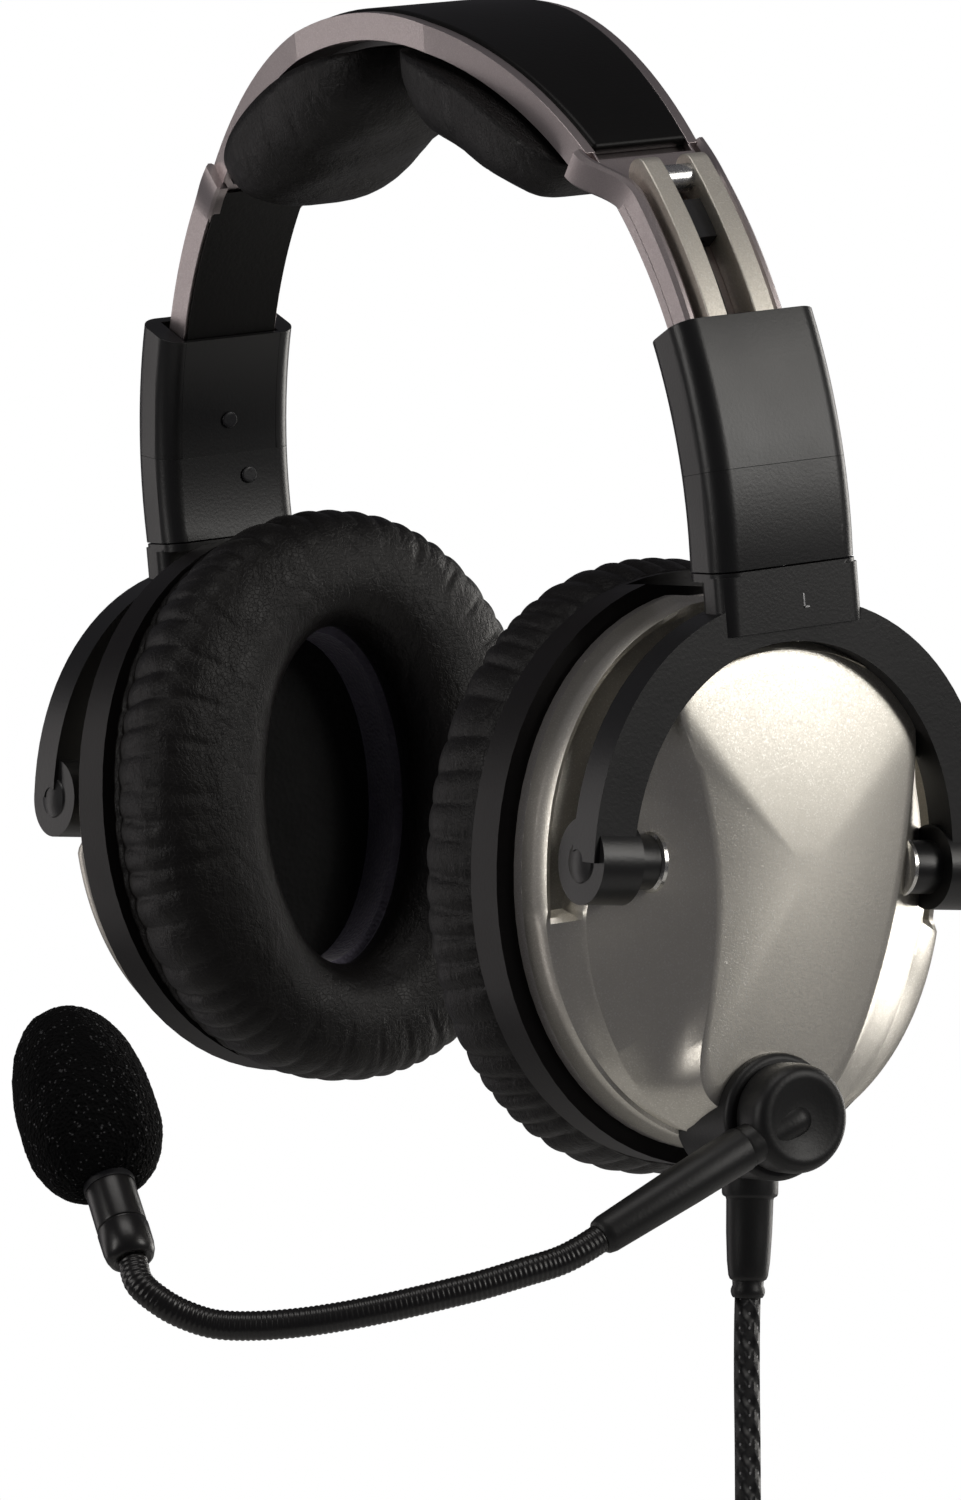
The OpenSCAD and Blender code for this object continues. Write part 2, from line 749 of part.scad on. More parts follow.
module ear_mesh(side) {
    color("#0c0c0d")
        place_cup(side)
            across_cup(baffle_n - 1, baffle_n)
                polygon(oval(ear_y - liner_wall - 0.4, ear_z - liner_wall - 0.4, 2.05, 72));
}
// Noise cancelling board on four posts behind the baffle
module noise_board(side) {
    color("darkgreen")
        place_cup(side)
            difference() {
                union() {
                    translate([baffle_n + baffle_t + post_len, -board_w / 2, -board_h / 2])
                        cube([board_t, board_w, board_h]);
                    for (y = [-1, 1] * (board_w / 2 - 3), z = [-1, 1] * (board_h / 2 - 4))
                        translate([baffle_n + baffle_t, y, z]) rotate([0, 90, 0])
                            cylinder(r = 2, h = post_len + eps, $fn = 24);
                }
                rotate([0, 90, 0]) cylinder(r = speaker_r + 0.5, h = baffle_n + baffle_t + 2, $fn = 48);
            }
}

// ---- Ear cushions ----
// Outline of the cushion's section, from the inner edge at the back round the face to the back again:
// how far out it lies between the ear opening and the outer wall, how deep it is, and its pleating
cushion_rows = [
    [0.02, 0, 0], [0, 0.35, 0], [0.02, 0.68, 0], [0.12, 0.9, 0], [0.3, 1, 0], [0.52, 1, 0],
    [0.77, 0.96, 0.1], [0.95, 0.85, 0.4], [1, 0.66, 0.8], [0.98, 0.4, 1], [0.91, 0.16, 0.7], [0.93, 0, 0.2]
];
cushion_steps = 2 * pleats;
pleat_depth = 0.9;
function cushion_point(i, row) =
    let (a = 360 * i / cushion_steps)
    let (inner = oval_at(a, ear_y, ear_z, 2.05), outer = oval_at(a, cushion_y, cushion_z, 2.1))
    let (share = row[0] - (i % 2 == 0 ? 0 : row[2] * pleat_depth / 22))
    let (p = inner + (outer - inner) * share)
    [cushion_n - cushion_d * row[1], p[0], p[1]];
module ear_cushion(side) {
    color("#1b1a1c")
        place_cup(side)
            skin([
                for (i = [0 : cushion_steps - 1]) [for (row = cushion_rows) cushion_point(i, row)]
            ], true);
}

// ---- Boom microphone ----
module boom_base() {
    color("#18181a")
        place_cup(1)
            difference() {
                translate([boom_base_n - seat_in, boom_y, boom_z]) rotate([0, 90, 0])
                    cylinder(r = boom_base_r, h = seat_in, $fn = 72);
                boom_axle(pin_gap);
            }
}
// Axle that the boom turns on
module boom_axle(play) {
    translate([boom_base_n - axle_len - play, boom_y, boom_z]) rotate([0, 90, 0])
        cylinder(r = axle_r + play, h = axle_len + gap + play + eps, $fn = 48);
}
module boom_arm() {
    color("#141415")
        place_cup(1) {
            translate([boom_n, boom_y, boom_z]) rotate([0, 90, 0]) {
                cylinder(r = puck_r, h = puck_h - 1.5, $fn = 72);
                cylinder(r = puck_r - 1.5, h = puck_h, $fn = 72);
            }
            boom_axle(0);
            difference() {
                translate([arm_n, boom_y, boom_z]) rotate([90 + arm_drop, 0, 0])
                    cylinder(d1 = arm_d, d2 = arm_d - 1.3, h = arm_len, $fn = 48);
                translate([boom_n - seat_in, boom_y, boom_z]) rotate([0, 90, 0])
                    cylinder(r = boom_base_r + 2 * gap, h = seat_in, $fn = 72);
            }
        }
}
module gooseneck() {
    color("#1a1a1b")
        place_cup(1)
            tube([for (p = gooseneck_path) arm_end + p], gooseneck_d, 12, [1, 0, 0]);
}
module along_mic() {
    place_cup(1)
        translate(mic_root)
            rotate([0, acos(mic_dir[2]), atan2(mic_dir[1], mic_dir[0])]) children();
}
module mic_sleeve() {
    color("#161617")
        along_mic() cylinder(r1 = sleeve_r - 0.6, r2 = sleeve_r, h = sleeve_len, $fn = 48);
}
module mic_capsule() {
    color("#303033")
        along_mic() translate([0, 0, sleeve_len]) cylinder(r = sleeve_r, h = capsule_len, $fn = 48);
}
// Foam ball with a bore for the capsule
module windscreen() {
    color("#111112")
        along_mic()
            translate([0, 0, sleeve_len])
                rotate_extrude($fn = 72)
                    difference() {
                        polygon([
                            [0, 0], [sleeve_r + 0.6, 0],
                            for (i = [0 : 14])
                                let (a = -58 + 146 * i / 14)
                                let (half = a < 0 ? windscreen_belly : windscreen_len - windscreen_belly)
                                let (p = oval_at(a, windscreen_d / 2, half, 2.3))
                                [p[0], p[1] + windscreen_belly],
                            [0, windscreen_len]
                        ]);
                        translate([-1, -1]) square([1 + sleeve_r, 1 + capsule_len]);
                    }
}

// ---- Cord ----
module strain_relief() {
    color("#131314")
        place_cup(1)
            translate([outlet_n, outlet_y, outlet_z])
                rotate_extrude($fn = 48)
                    polygon([
                        [0, 5.5], [neck_r, 5.5], [neck_r, 0], [4.9, 0], [4.9, -5], [4.1, -5.6],
                        [3.3, -relief_len + 3.2], [cord_d / 2 + 0.5, -relief_len + 3.2],
                        [cord_d / 2 + 0.5, -relief_len], [0, -relief_len]
                    ]);
}
module cord_drop() {
    color("#101011")
        place_cup(1) tube([for (p = cord_path) relief_end + p], cord_d, 8, [1, 0, 0]);
}
module cord_coil() {
    color("#101011")
        place_cup(1) tube(coil_path, cord_d, 6, [1, 0, 0]);
}
// Strap that keeps the loops together
tie_w = 8;
tie_t = 1;
module coil_tie() {
    in_y = coil_r + coil_pitch / 4 - cord_d / 2 - 0.8;
    out_y = coil_out_r - coil_pitch / 2 + cord_d / 2 + gap;
    wide = coil_pitch + cord_d + 2 * gap;
    color("#0d0d0e")
        place_cup(1)
            translate(coil_start + [coil_pitch / 2, coil_out_r + (in_y + out_y) / 2, 0])
                linear_extrude(tie_w, center = true)
                    difference() {
                        soft_rect(wide + 2 * tie_t, out_y - in_y + 2 * tie_t, 2);
                        soft_rect(wide, out_y - in_y, 1);
                    }
}
module cord_tail() {
    color("#101011")
        place_cup(1) tube([for (p = tail_path) tail_top + p], cord_d, 8, [1, 0, 0]);
}
module y_split() {
    color("#161617")
        place_cup(1)
            translate(split_top - [0, 0, split_len])
                rotate_extrude($fn = 48)
                    polygon([
                        [0, 0], [split_r, 0], [split_r, split_len * 0.6], [cord_d / 2 + 0.9, split_len],
                        [0, split_len]
                    ]);
}
module plug_leads() {
    color("#101011")
        place_cup(1)
            for (s = [-1, 1])
                tube([for (p = lead_path) split_top - [0, 0, split_len] + [p[0], s * p[1], p[2]]], lead_d, 8);
}
// Boot, grip and pin of a plug, hanging from its lead
module plug(side, pin_d) {
    place_cup(1)
        translate(plug_top - [0, (1 - side) * plug_y, 0])
            rotate([180, 0, 0])
                rotate_extrude($fn = 64)
                    polygon([
                        [0, 0], [lead_d / 2 + 0.8, 0], [lead_d / 2 + 1.8, plug_boot],
                        [plug_grip_r, plug_boot], [plug_grip_r, plug_boot + plug_grip],
                        [pin_d / 2, plug_boot + plug_grip], [pin_d / 2, plug_boot + plug_grip + plug_pin_len],
                        [pin_d / 2 - 0.7, plug_boot + plug_grip + plug_pin_len],
                        [pin_d / 2 - 0.7, plug_boot + plug_grip + plug_pin_len + 1.4],
                        [pin_d / 2, plug_boot + plug_grip + plug_pin_len + 3.4],
                        [0.8, plug_boot + plug_grip + plug_pin_len + 7], [0, plug_boot + plug_grip + plug_pin_len + 7]
                    ]);
}
module headphone_plug() {
    color("silver") plug(1, phone_plug_d);
}
module mic_plug() {
    color("silver") plug(-1, mic_plug_d);
}

headband_frame();
headband_cover();
strap_liner(1);  // strap_liner_left
strap_liner(-1);  // strap_liner_right
crown_pad(1);  // crown_pad_left
crown_pad(-1);  // crown_pad_right
crown_pad_mount();
slider_rails(1);  // slider_rails_left
slider_rails(-1);  // slider_rails_right
rail_crossbars();
rail_clips();
crossover_wire();
slider_housing(1);  // slider_housing_left
slider_housing(-1);  // slider_housing_right
housing_base(1);  // housing_base_left
housing_base(-1);  // housing_base_right
inner_panel(1);  // inner_panel_left
inner_panel(-1);  // inner_panel_right
housing_screws(1);  // housing_screws_left
housing_screws(-1);  // housing_screws_right
swivel_pin(1);  // swivel_pin_left
swivel_pin(-1);  // swivel_pin_right
yoke(1);  // yoke_left
yoke(-1);  // yoke_right
tilt_pins(1);  // tilt_pins_left
tilt_pins(-1);  // tilt_pins_right
cup_shell(1);  // cup_shell_left
cup_shell(-1);  // cup_shell_right
rim(1);  // rim_left
rim(-1);  // rim_right
baffle_ring(1);  // baffle_ring_left
baffle_ring(-1);  // baffle_ring_right
baffle(1);  // baffle_left
baffle(-1);  // baffle_right
speaker(1);  // speaker_left
speaker(-1);  // speaker_right
ear_cushion(1);  // ear_cushion_left
ear_cushion(-1);  // ear_cushion_right
ear_liner(1);  // ear_liner_left
ear_liner(-1);  // ear_liner_right
ear_mesh(1);  // ear_mesh_left
ear_mesh(-1);  // ear_mesh_right
noise_board(1);  // noise_board_left
noise_board(-1);  // noise_board_right
boom_base();
boom_arm();
gooseneck();
mic_sleeve();
mic_capsule();
windscreen();
strain_relief();
cord_drop();
cord_coil();
coil_tie();
cord_tail();
y_split();
plug_leads();
headphone_plug();
mic_plug();
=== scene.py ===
"""Aviation headset: camera, light, cords, soft parts and finishes over the fixed frame."""
import json
import math

import bmesh
import bpy
from mathutils import Matrix, Vector, noise


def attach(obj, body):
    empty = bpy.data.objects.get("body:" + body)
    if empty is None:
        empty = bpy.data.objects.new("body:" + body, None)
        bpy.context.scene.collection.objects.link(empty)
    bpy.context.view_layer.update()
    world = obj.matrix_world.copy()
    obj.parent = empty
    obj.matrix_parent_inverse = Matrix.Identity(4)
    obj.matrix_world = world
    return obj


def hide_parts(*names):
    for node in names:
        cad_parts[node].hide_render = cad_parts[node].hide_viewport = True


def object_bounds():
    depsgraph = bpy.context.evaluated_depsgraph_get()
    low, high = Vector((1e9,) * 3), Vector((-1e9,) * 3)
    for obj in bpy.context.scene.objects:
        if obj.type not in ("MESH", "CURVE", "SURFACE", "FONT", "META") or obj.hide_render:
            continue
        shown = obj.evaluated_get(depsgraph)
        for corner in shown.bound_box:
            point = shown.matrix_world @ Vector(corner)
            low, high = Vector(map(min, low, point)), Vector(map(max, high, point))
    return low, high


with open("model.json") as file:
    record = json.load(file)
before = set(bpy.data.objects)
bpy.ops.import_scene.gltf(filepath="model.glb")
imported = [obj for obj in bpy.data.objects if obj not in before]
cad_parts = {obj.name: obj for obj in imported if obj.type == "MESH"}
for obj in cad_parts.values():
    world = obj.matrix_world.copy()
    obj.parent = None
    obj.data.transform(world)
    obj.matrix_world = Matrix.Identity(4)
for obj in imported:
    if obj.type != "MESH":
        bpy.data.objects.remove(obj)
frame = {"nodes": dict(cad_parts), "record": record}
CAD_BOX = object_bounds()
MM = 0.001
SIDES = {"left": 1, "right": -1}


# ---- Sizes, in millimetres, as in the frame ----
BAND_R = 96.0
BAND_H = 5.0
ARCH_Z = BAND_H - BAND_R
RAIL_X = 8.0
RAIL_Z = ARCH_Z + 4.0
YOKE_PITCH = 8.5
SWIVEL = Vector((98.8, 0.0, -93.5))
YOKE_SET_IN = 1.5
YOKE_OFFSET = 4.0
YOKE_DROP = 51.5
CUP_DEPTH = 31.0
CUP_PIN = Vector((CUP_DEPTH - 4.25, 0.0, 1.0))
TILT = {"left": -2.5, "right": 6.0}
YAW = {"left": 0.0, "right": -3.5}
CUP_Y = 42.2
CUP_Z = 48.9
RING_LIP = 2.8
CORD_D = 4.6


def turn(axis, degrees):
    return Matrix.Rotation(math.radians(degrees), 4, axis)


def cup_place(side):
    """The cup's own axes (out, back, up, in mm) to the frame, in metres."""
    flip = Matrix.Scale(-1, 4, (1, 0, 0)) if side == "right" else Matrix.Identity(4)
    scale = Matrix.Scale(MM, 4)
    yoke = Matrix.Translation(SWIVEL) @ turn("Z", YAW[side]) @ turn("X", -YOKE_PITCH)
    pivot = yoke @ Matrix.Translation((-YOKE_SET_IN, YOKE_OFFSET, -YOKE_DROP))
    return scale @ flip @ pivot @ turn("Y", TILT[side]) @ Matrix.Translation(-CUP_PIN)


CUP = {side: cup_place(side) for side in SIDES}


# ---- Camera and light ----
# How the camera is turned, raised and rolled, in degrees
VIEW_TURN, VIEW_RISE, VIEW_ROLL = 59.55, 6.14, -4.77
# How far it stands back from its aim, and how far it is set right and up, in millimetres
VIEW_AWAY = 1345.4
VIEW_RIGHT = -4.04
VIEW_UP = 15.26
VIEW_AIM = Vector((0, 0, -146))
# Focal length and picture width in pixels, and the sensor's width in millimetres
FOCAL_PIXELS = 7361.97
PICTURE_PIXELS = 961
SENSOR_W = 36


def build_camera():
    turned, raised, rolled = map(math.radians, (VIEW_TURN, VIEW_RISE, VIEW_ROLL))
    across = Vector((math.cos(turned), math.sin(turned), 0))
    level = math.cos(raised)
    back = Vector((math.sin(turned) * level, -math.cos(turned) * level, math.sin(raised)))
    up = back.cross(across)
    right = across * math.cos(rolled) + up * math.sin(rolled)
    top = -across * math.sin(rolled) + up * math.cos(rolled)
    place = back * VIEW_AWAY + right * VIEW_RIGHT + top * VIEW_UP + VIEW_AIM
    data = bpy.data.cameras.new("camera")
    data.sensor_fit = "HORIZONTAL"
    data.sensor_width = SENSOR_W
    data.lens = SENSOR_W * FOCAL_PIXELS / PICTURE_PIXELS
    data.clip_end = 20
    camera = bpy.data.objects.new("camera", data)
    camera.matrix_world = Matrix((
        (right.x, top.x, back.x, place.x * MM),
        (right.y, top.y, back.y, place.y * MM),
        (right.z, top.z, back.z, place.z * MM),
        (0, 0, 0, 1),
    ))
    bpy.context.scene.collection.objects.link(camera)
    bpy.context.scene.camera = camera
    return right, top, back


RIGHT, TOP, BACK = build_camera()
# The spot that the lamps face, in metres
HEART = Vector((0.02, -0.02, -0.12))
# Each lamp: how far right, up and towards the camera it stands and how large it is in metres, power, colour
LAMPS = (
    ("key", (1.25, 0.55, 0.62), (0.5, 0.8), 6, (1, 0.97, 0.92)),
    ("spark", (1.30, 0.30, 0.66), (0.12, 0.12), 1.3, (1, 0.99, 0.97)),
    ("above", (-0.1, 1.6, 0.5), (1.1, 0.5), 6, (1, 0.97, 0.94)),
    ("left", (-1.3, 0.25, 0.7), (0.3, 0.9), 4.5, (1, 0.97, 0.94)),
    ("left_back", (-1.5, -0.1, -0.85), (0.5, 1.3), 2.6, (1, 0.95, 0.93)),
    ("low_left", (-0.9, -1.1, 0.4), (0.6, 0.5), 0.5, (1, 0.95, 0.9)),
    ("behind", (1.3, 0.1, -1.15), (0.7, 1.1), 13, (1, 0.97, 0.92)),
)


def lamp(name, away, size, power, colour):
    data = bpy.data.lights.new(name, "AREA")
    data.shape = "RECTANGLE"
    data.size, data.size_y = size
    data.energy = power
    data.color = colour
    light = bpy.data.objects.new(name, data)
    spot = HEART + RIGHT * away[0] + TOP * away[1] + BACK * away[2]
    aim = (spot - HEART).to_track_quat("Z", "Y").to_matrix().to_4x4()
    light.matrix_world = Matrix.Translation(spot) @ aim
    bpy.context.scene.collection.objects.link(light)


for made in LAMPS:
    lamp(*made)


# ---- Shader helpers ----
class Link:
    """A value in a material's node tree, with plain arithmetic."""

    def __init__(self, finish, socket):
        self.finish = finish
        self.socket = socket

    def _math(self, operation, *values):
        return self.finish.node("ShaderNodeMath", {"operation": operation}, dict(enumerate(values)))

    def __add__(self, other):
        return self._math("ADD", self, other)

    def __radd__(self, other):
        return self._math("ADD", other, self)

    def __sub__(self, other):
        return self._math("SUBTRACT", self, other)

    def __rsub__(self, other):
        return self._math("SUBTRACT", other, self)

    def __mul__(self, other):
        return self._math("MULTIPLY", self, other)

    def __rmul__(self, other):
        return self._math("MULTIPLY", other, self)

    def over(self, other):
        return self._math("GREATER_THAN", self, other)

    def at_most(self, other):
        return self._math("MINIMUM", self, other)

    def sine(self):
        return self._math("SINE", self)

    def size(self):
        return self._math("ABSOLUTE", self)


class Finish:
    """One material: its Principled shader and the nodes that feed it."""

    def __init__(self, name, colour, rough, metal=0.0, **sockets):
        self.material = bpy.data.materials.new(name)
        self.material.use_nodes = True
        self.tree = self.material.node_tree
        self.shader = self.tree.nodes["Principled BSDF"]
        self.set("Base Color", (*colour, 1))
        self.set("Roughness", rough)
        self.set("Metallic", metal)
        for socket, value in sockets.items():
            self.set(socket.replace("_", " ").title().replace("Ior", "IOR"), value)
        self.material.diffuse_color = (*colour, 1)

    def set(self, socket, value):
        if isinstance(value, Link):
            self.tree.links.new(value.socket, self.shader.inputs[socket])
        else:
            self.shader.inputs[socket].default_value = value

    def node(self, kind, settings=None, values=None, out=0):
        made = self.tree.nodes.new(kind)
        for key, value in (settings or {}).items():
            setattr(made, key, value)
        for key, value in (values or {}).items():
            if isinstance(value, Link):
                self.tree.links.new(value.socket, made.inputs[key])
            else:
                made.inputs[key].default_value = value
        return Link(self, made.outputs[out])

    def coords(self, stretch=None, uv=False):
        place = self.node("ShaderNodeTexCoord", out="UV" if uv else "Object")
        if stretch:
            place = self.node("ShaderNodeMapping", values={"Vector": place, "Scale": stretch})
        return place

    def noise(self, scale, detail=3.0, rough=0.5, place=None):
        return self.node(
            "ShaderNodeTexNoise",
            values={"Vector": place or self.coords(), "Scale": scale, "Detail": detail, "Roughness": rough},
        )

    def cells(self, scale, feature="F1", place=None, out="Distance"):
        return self.node(
            "ShaderNodeTexVoronoi", {"feature": feature},
            {"Vector": place or self.coords(), "Scale": scale}, out=out,
        )

    def blend(self, factor, low, high):
        return self.node("ShaderNodeMix", {"data_type": "RGBA"}, {0: factor, 6: low, 7: high}, out=2)

    def bump(self, height, depth, strength=1.0, under=None):
        values = {"Height": height, "Distance": depth, "Strength": strength}
        if under:
            values["Normal"] = under
        lifted = self.node("ShaderNodeBump", values=values)
        self.set("Normal", lifted)
        return lifted


def rgba(r, g, b):
    return (r, g, b, 1)


def shaded(colour, share, lift=0.0):
    """The colour at a share of its strength."""
    return rgba(*(c * share + lift for c in colour))


# ---- Finishes ----
def moulded(name, colour, rough, grain=0.00004, scale=1500, shine=0.5):
    """Moulded plastic with a fine even texture."""
    finish = Finish(name, colour, rough, specular_ior_level=shine)
    pores = finish.noise(scale, 2)
    mottle = finish.noise(60, 4)
    finish.set("Roughness", rough - 0.05 + 0.1 * mottle)
    finish.set("Base Color", finish.blend(mottle * 0.6, rgba(*colour), shaded(colour, 1.7, 0.002)))
    finish.bump(pores, grain)
    return finish.material


def sparkle_metal(name, colour, bright, rough, fleck=5200, grain=0.00001):
    """Metal paint or fine blasted metal with small flecks that catch the light."""
    finish = Finish(name, colour, rough, 0.92)
    flecks = finish.cells(fleck, out="Color")
    level = finish.node("ShaderNodeSeparateColor", values={0: flecks})
    spark = level.over(0.9)
    cloud = finish.noise(45, 4)
    tone = finish.blend(cloud * 0.5, rgba(*colour), shaded(colour, 0.88))
    grained = finish.blend(level * 0.6, tone, shaded(colour, 0.78))
    finish.set("Base Color", finish.blend(spark * 0.42, grained, rgba(*bright)))
    finish.set("Roughness", rough + 0.1 * level - 0.1 * spark)
    finish.bump(level, grain, 0.5)
    return finish.material


def leather(name, colour, wrinkle=0.00045):
    """Soft grained leather: pebbles, finer pores and long creases."""
    finish = Finish(name, colour, 0.5, specular_ior_level=0.3)
    place = finish.coords()
    warp = finish.noise(240, 3, place=place)
    pebbles = finish.cells(1150, "DISTANCE_TO_EDGE", place=place)
    creases = finish.noise(120, 7, 0.62, place=finish.coords((1, 1, 0.55)))
    ridge = (creases - 0.5).size()
    height = pebbles.at_most(0.12) * 3.2 + warp * 0.7
    tone = finish.noise(38, 5)
    finish.set("Base Color", finish.blend(tone, rgba(*colour), shaded(colour, 1.9, 0.001)))
    finish.set("Roughness", 0.34 + 0.14 * warp + 0.08 * tone)
    under = finish.bump(height, 0.00010, 0.8)
    finish.bump(ridge.at_most(0.09) * 11, wrinkle, 0.30, under)
    return finish.material


def foam(name, colour, bright):
    """Open foam: rough pores, with painted glints: a few cells get a lighter base colour, as if they caught
    the light.
    """
    finish = Finish(name, colour, 0.85, specular_ior_level=0.12)
    holes = finish.cells(1500, "F1")
    froth = finish.noise(700, 5)
    glint_cells = finish.cells(3200, out="Color")
    glint = finish.node("ShaderNodeSeparateColor", values={0: glint_cells}).over(0.965)
    # Painted glint: the brightest cells are made lighter in the colour itself and a little smoother
    finish.set("Base Color", finish.blend(glint, rgba(*colour), rgba(*bright)))
    finish.set("Roughness", 0.9 - 0.5 * glint)
    under = finish.bump(holes, 0.0007, 0.9)
    finish.bump(froth, 0.0005, 0.7, under)
    return finish.material


def knit(name, colour, scale=1400):
    """Close cloth with a soft sheen."""
    finish = Finish(name, colour, 0.85, sheen_weight=0.35, sheen_roughness=0.4, specular_ior_level=0.3)
    threads = finish.cells(scale, "F1")
    tone = finish.noise(140, 4)
    finish.set("Base Color", finish.blend(tone, shaded(colour, 0.75), shaded(colour, 1.2)))
    finish.set("Roughness", 0.78 + 0.16 * tone)
    finish.bump(threads, 0.00025, 0.8)
    return finish.material


STRANDS = 4
BRAID_TURN = 1250


def twisted_jacket(name, colour, bright):
    """A braided sleeve with bright flecks, wound along the cord's own length."""
    finish = Finish(name, (0.012, 0.012, 0.013), 0.45)
    place = finish.coords(uv=True)
    around = finish.node("ShaderNodeSeparateXYZ", values={0: place}) * 6.2832 * STRANDS
    along = finish.node("ShaderNodeSeparateXYZ", values={0: place}, out=1) * BRAID_TURN
    lay = (around + along).sine()
    cross = (around - along).sine()
    fleck = (lay * cross).over(0.90)
    finish.set("Base Color", finish.blend(fleck, rgba(*colour), rgba(*bright)))
    finish.set("Roughness", 0.5 - 0.15 * fleck)
    finish.bump(lay + cross * 0.6, 0.00035, 0.9)
    return finish.material


# Each finish: its slot's name, what makes it, then its colour, the colour of its flecks where it has some
# (for the foam, the colour of its painted glints), roughness, and what differs from that maker's usual grain
# and shine
FINISHES = (
    ("rim_metal", sparkle_metal, (0.50, 0.44, 0.44), (0.6, 0.57, 0.56), 0.32, 5600),
    ("cover_black", moulded, (0.003, 0.0028, 0.0027), 0.42, 0.00003, 1300, 0.18),
    ("pad_leather", leather, (0.0036, 0.0030, 0.0028)),
    ("rail_steel", sparkle_metal, (0.78, 0.74, 0.66), (0.9, 0.88, 0.82), 0.42, 3600, 0.00003),
    ("bright_steel", sparkle_metal, (0.62, 0.62, 0.62), (0.9, 0.9, 0.9), 0.22),
    ("housing_black", moulded, (0.007, 0.007, 0.0072), 0.36, 0.00002, 1800),
    ("cup_metal", sparkle_metal, (0.72, 0.69, 0.62), (1.0, 0.98, 0.92), 0.33, 4600),
    ("rim_silver", sparkle_metal, (0.60, 0.57, 0.55), (0.9, 0.9, 0.88), 0.34),
    ("ring_black", moulded, (0.006, 0.005, 0.005), 0.42, 0.00002, 1500, 0.24),
    ("liner_grey", knit, (0.17, 0.158, 0.21)),
    ("mesh_black", knit, (0.004, 0.004, 0.004), 900),
    ("board_green", moulded, (0.01, 0.09, 0.03), 0.35),
    ("boom_rubber", moulded, (0.006, 0.006, 0.006), 0.46, 0.00003, 1500, 0.42),
    ("gooseneck_black", moulded, (0.006, 0.0055, 0.0055), 0.33, 0.00001, 2000),
    # The foam's second colour is its painted glint colour
    ("foam_black", foam, (0.002, 0.002, 0.0022), (0.06, 0.06, 0.063)),
    ("cord_black", twisted_jacket, (0.010, 0.010, 0.011), (0.30, 0.30, 0.31)),
    ("plug_metal", sparkle_metal, (0.66, 0.65, 0.62), (0.95, 0.94, 0.92), 0.16),
    ("clip_dark", moulded, (0.012, 0.012, 0.014), 0.4, 0.00003, 1500),
    ("speaker_dark", moulded, (0.01, 0.01, 0.012), 0.5, 0.00003, 1500),
)
FINISH = {name: maker(name, *values) for name, maker, *values in FINISHES}


def dress(obj, slot_name):
    """Gives an object the finish of a slot, in place of what it had."""
    obj.data.materials.clear()
    obj.data.materials.append(FINISH[slot_name])
    return obj


# ---- Making pieces ----
def new_piece(name, bm, body, slot_name, smooth=True):
    """Closes a bmesh into an object on a body, with its finish."""
    mesh = bpy.data.meshes.new(name)
    bm.to_mesh(mesh)
    bm.free()
    for face in mesh.polygons:
        face.use_smooth = smooth
    obj = bpy.data.objects.new(name, mesh)
    bpy.context.scene.collection.objects.link(obj)
    dress(obj, slot_name)
    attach(obj, body)
    return obj


def sharpen(bm, angle):
    """Marks the edges that stay crisp under smooth shading."""
    limit = math.radians(angle)
    for edge in bm.edges:
        if len(edge.link_faces) == 2 and edge.calc_face_angle(0) > limit:
            edge.smooth = False


HARD_ANGLE = 35
FLAT_ANGLE = 0.8
WELD = 0.00002


def softened(node, body, slot_name, width, segments=3):
    """A copy of a rigid node with its hard edges rounded, as moulded and cast parts have them."""
    bm = bmesh.new()
    bm.from_mesh(frame["nodes"][node].data)
    bmesh.ops.remove_doubles(bm, verts=bm.verts, dist=WELD)
    bmesh.ops.dissolve_limit(bm, angle_limit=math.radians(FLAT_ANGLE), verts=bm.verts, edges=bm.edges)
    limit = math.radians(HARD_ANGLE)
    hard = [edge for edge in bm.edges if len(edge.link_faces) == 2 and edge.calc_face_angle(0) > limit]
    bmesh.ops.bevel(
        bm, geom=hard, offset=width * MM, offset_type="OFFSET", segments=segments, profile=0.5,
        affect="EDGES", clamp_overlap=True, material=-1,
    )
    bmesh.ops.remove_doubles(bm, verts=bm.verts, dist=WELD / 4)
    bmesh.ops.triangulate(bm, faces=[face for face in bm.faces if len(face.verts) > 4])
    sharpen(bm, 40)
    obj = new_piece(node + "_shape", bm, body, slot_name)
    even = obj.modifiers.new("even_shading", "WEIGHTED_NORMAL")
    even.keep_sharp = True
    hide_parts(node)
    return obj


def superoval(angle, ry, rz, power):
    """A point of an oval that is squarer than an ellipse where its power is over 2."""
    c, s = math.cos(angle), math.sin(angle)
    return (math.copysign(abs(c) ** (2 / power), c) * ry, math.copysign(abs(s) ** (2 / power), s) * rz)


def ring_bridge(bm, loops, closed=False):
    """Joins rings of vertices, each the same length, with quads."""
    edges = []
    for loop in loops:
        edges.append([bm.edges.new((a, b)) for a, b in zip(loop, loop[1:] + loop[:1])])
    pairs = list(zip(edges, edges[1:]))
    if closed:
        pairs.append((edges[-1], edges[0]))
    for low, high in pairs:
        bmesh.ops.bridge_loops(bm, edges=low + high)


def skin(bm, rings):
    """Closes neighbouring rings of vertices into a surface."""
    for low, high in zip(rings, rings[1:]):
        for j in range(len(low)):
            k = (j + 1) % len(low)
            bm.faces.new((low[j], low[k], high[k], high[j]))


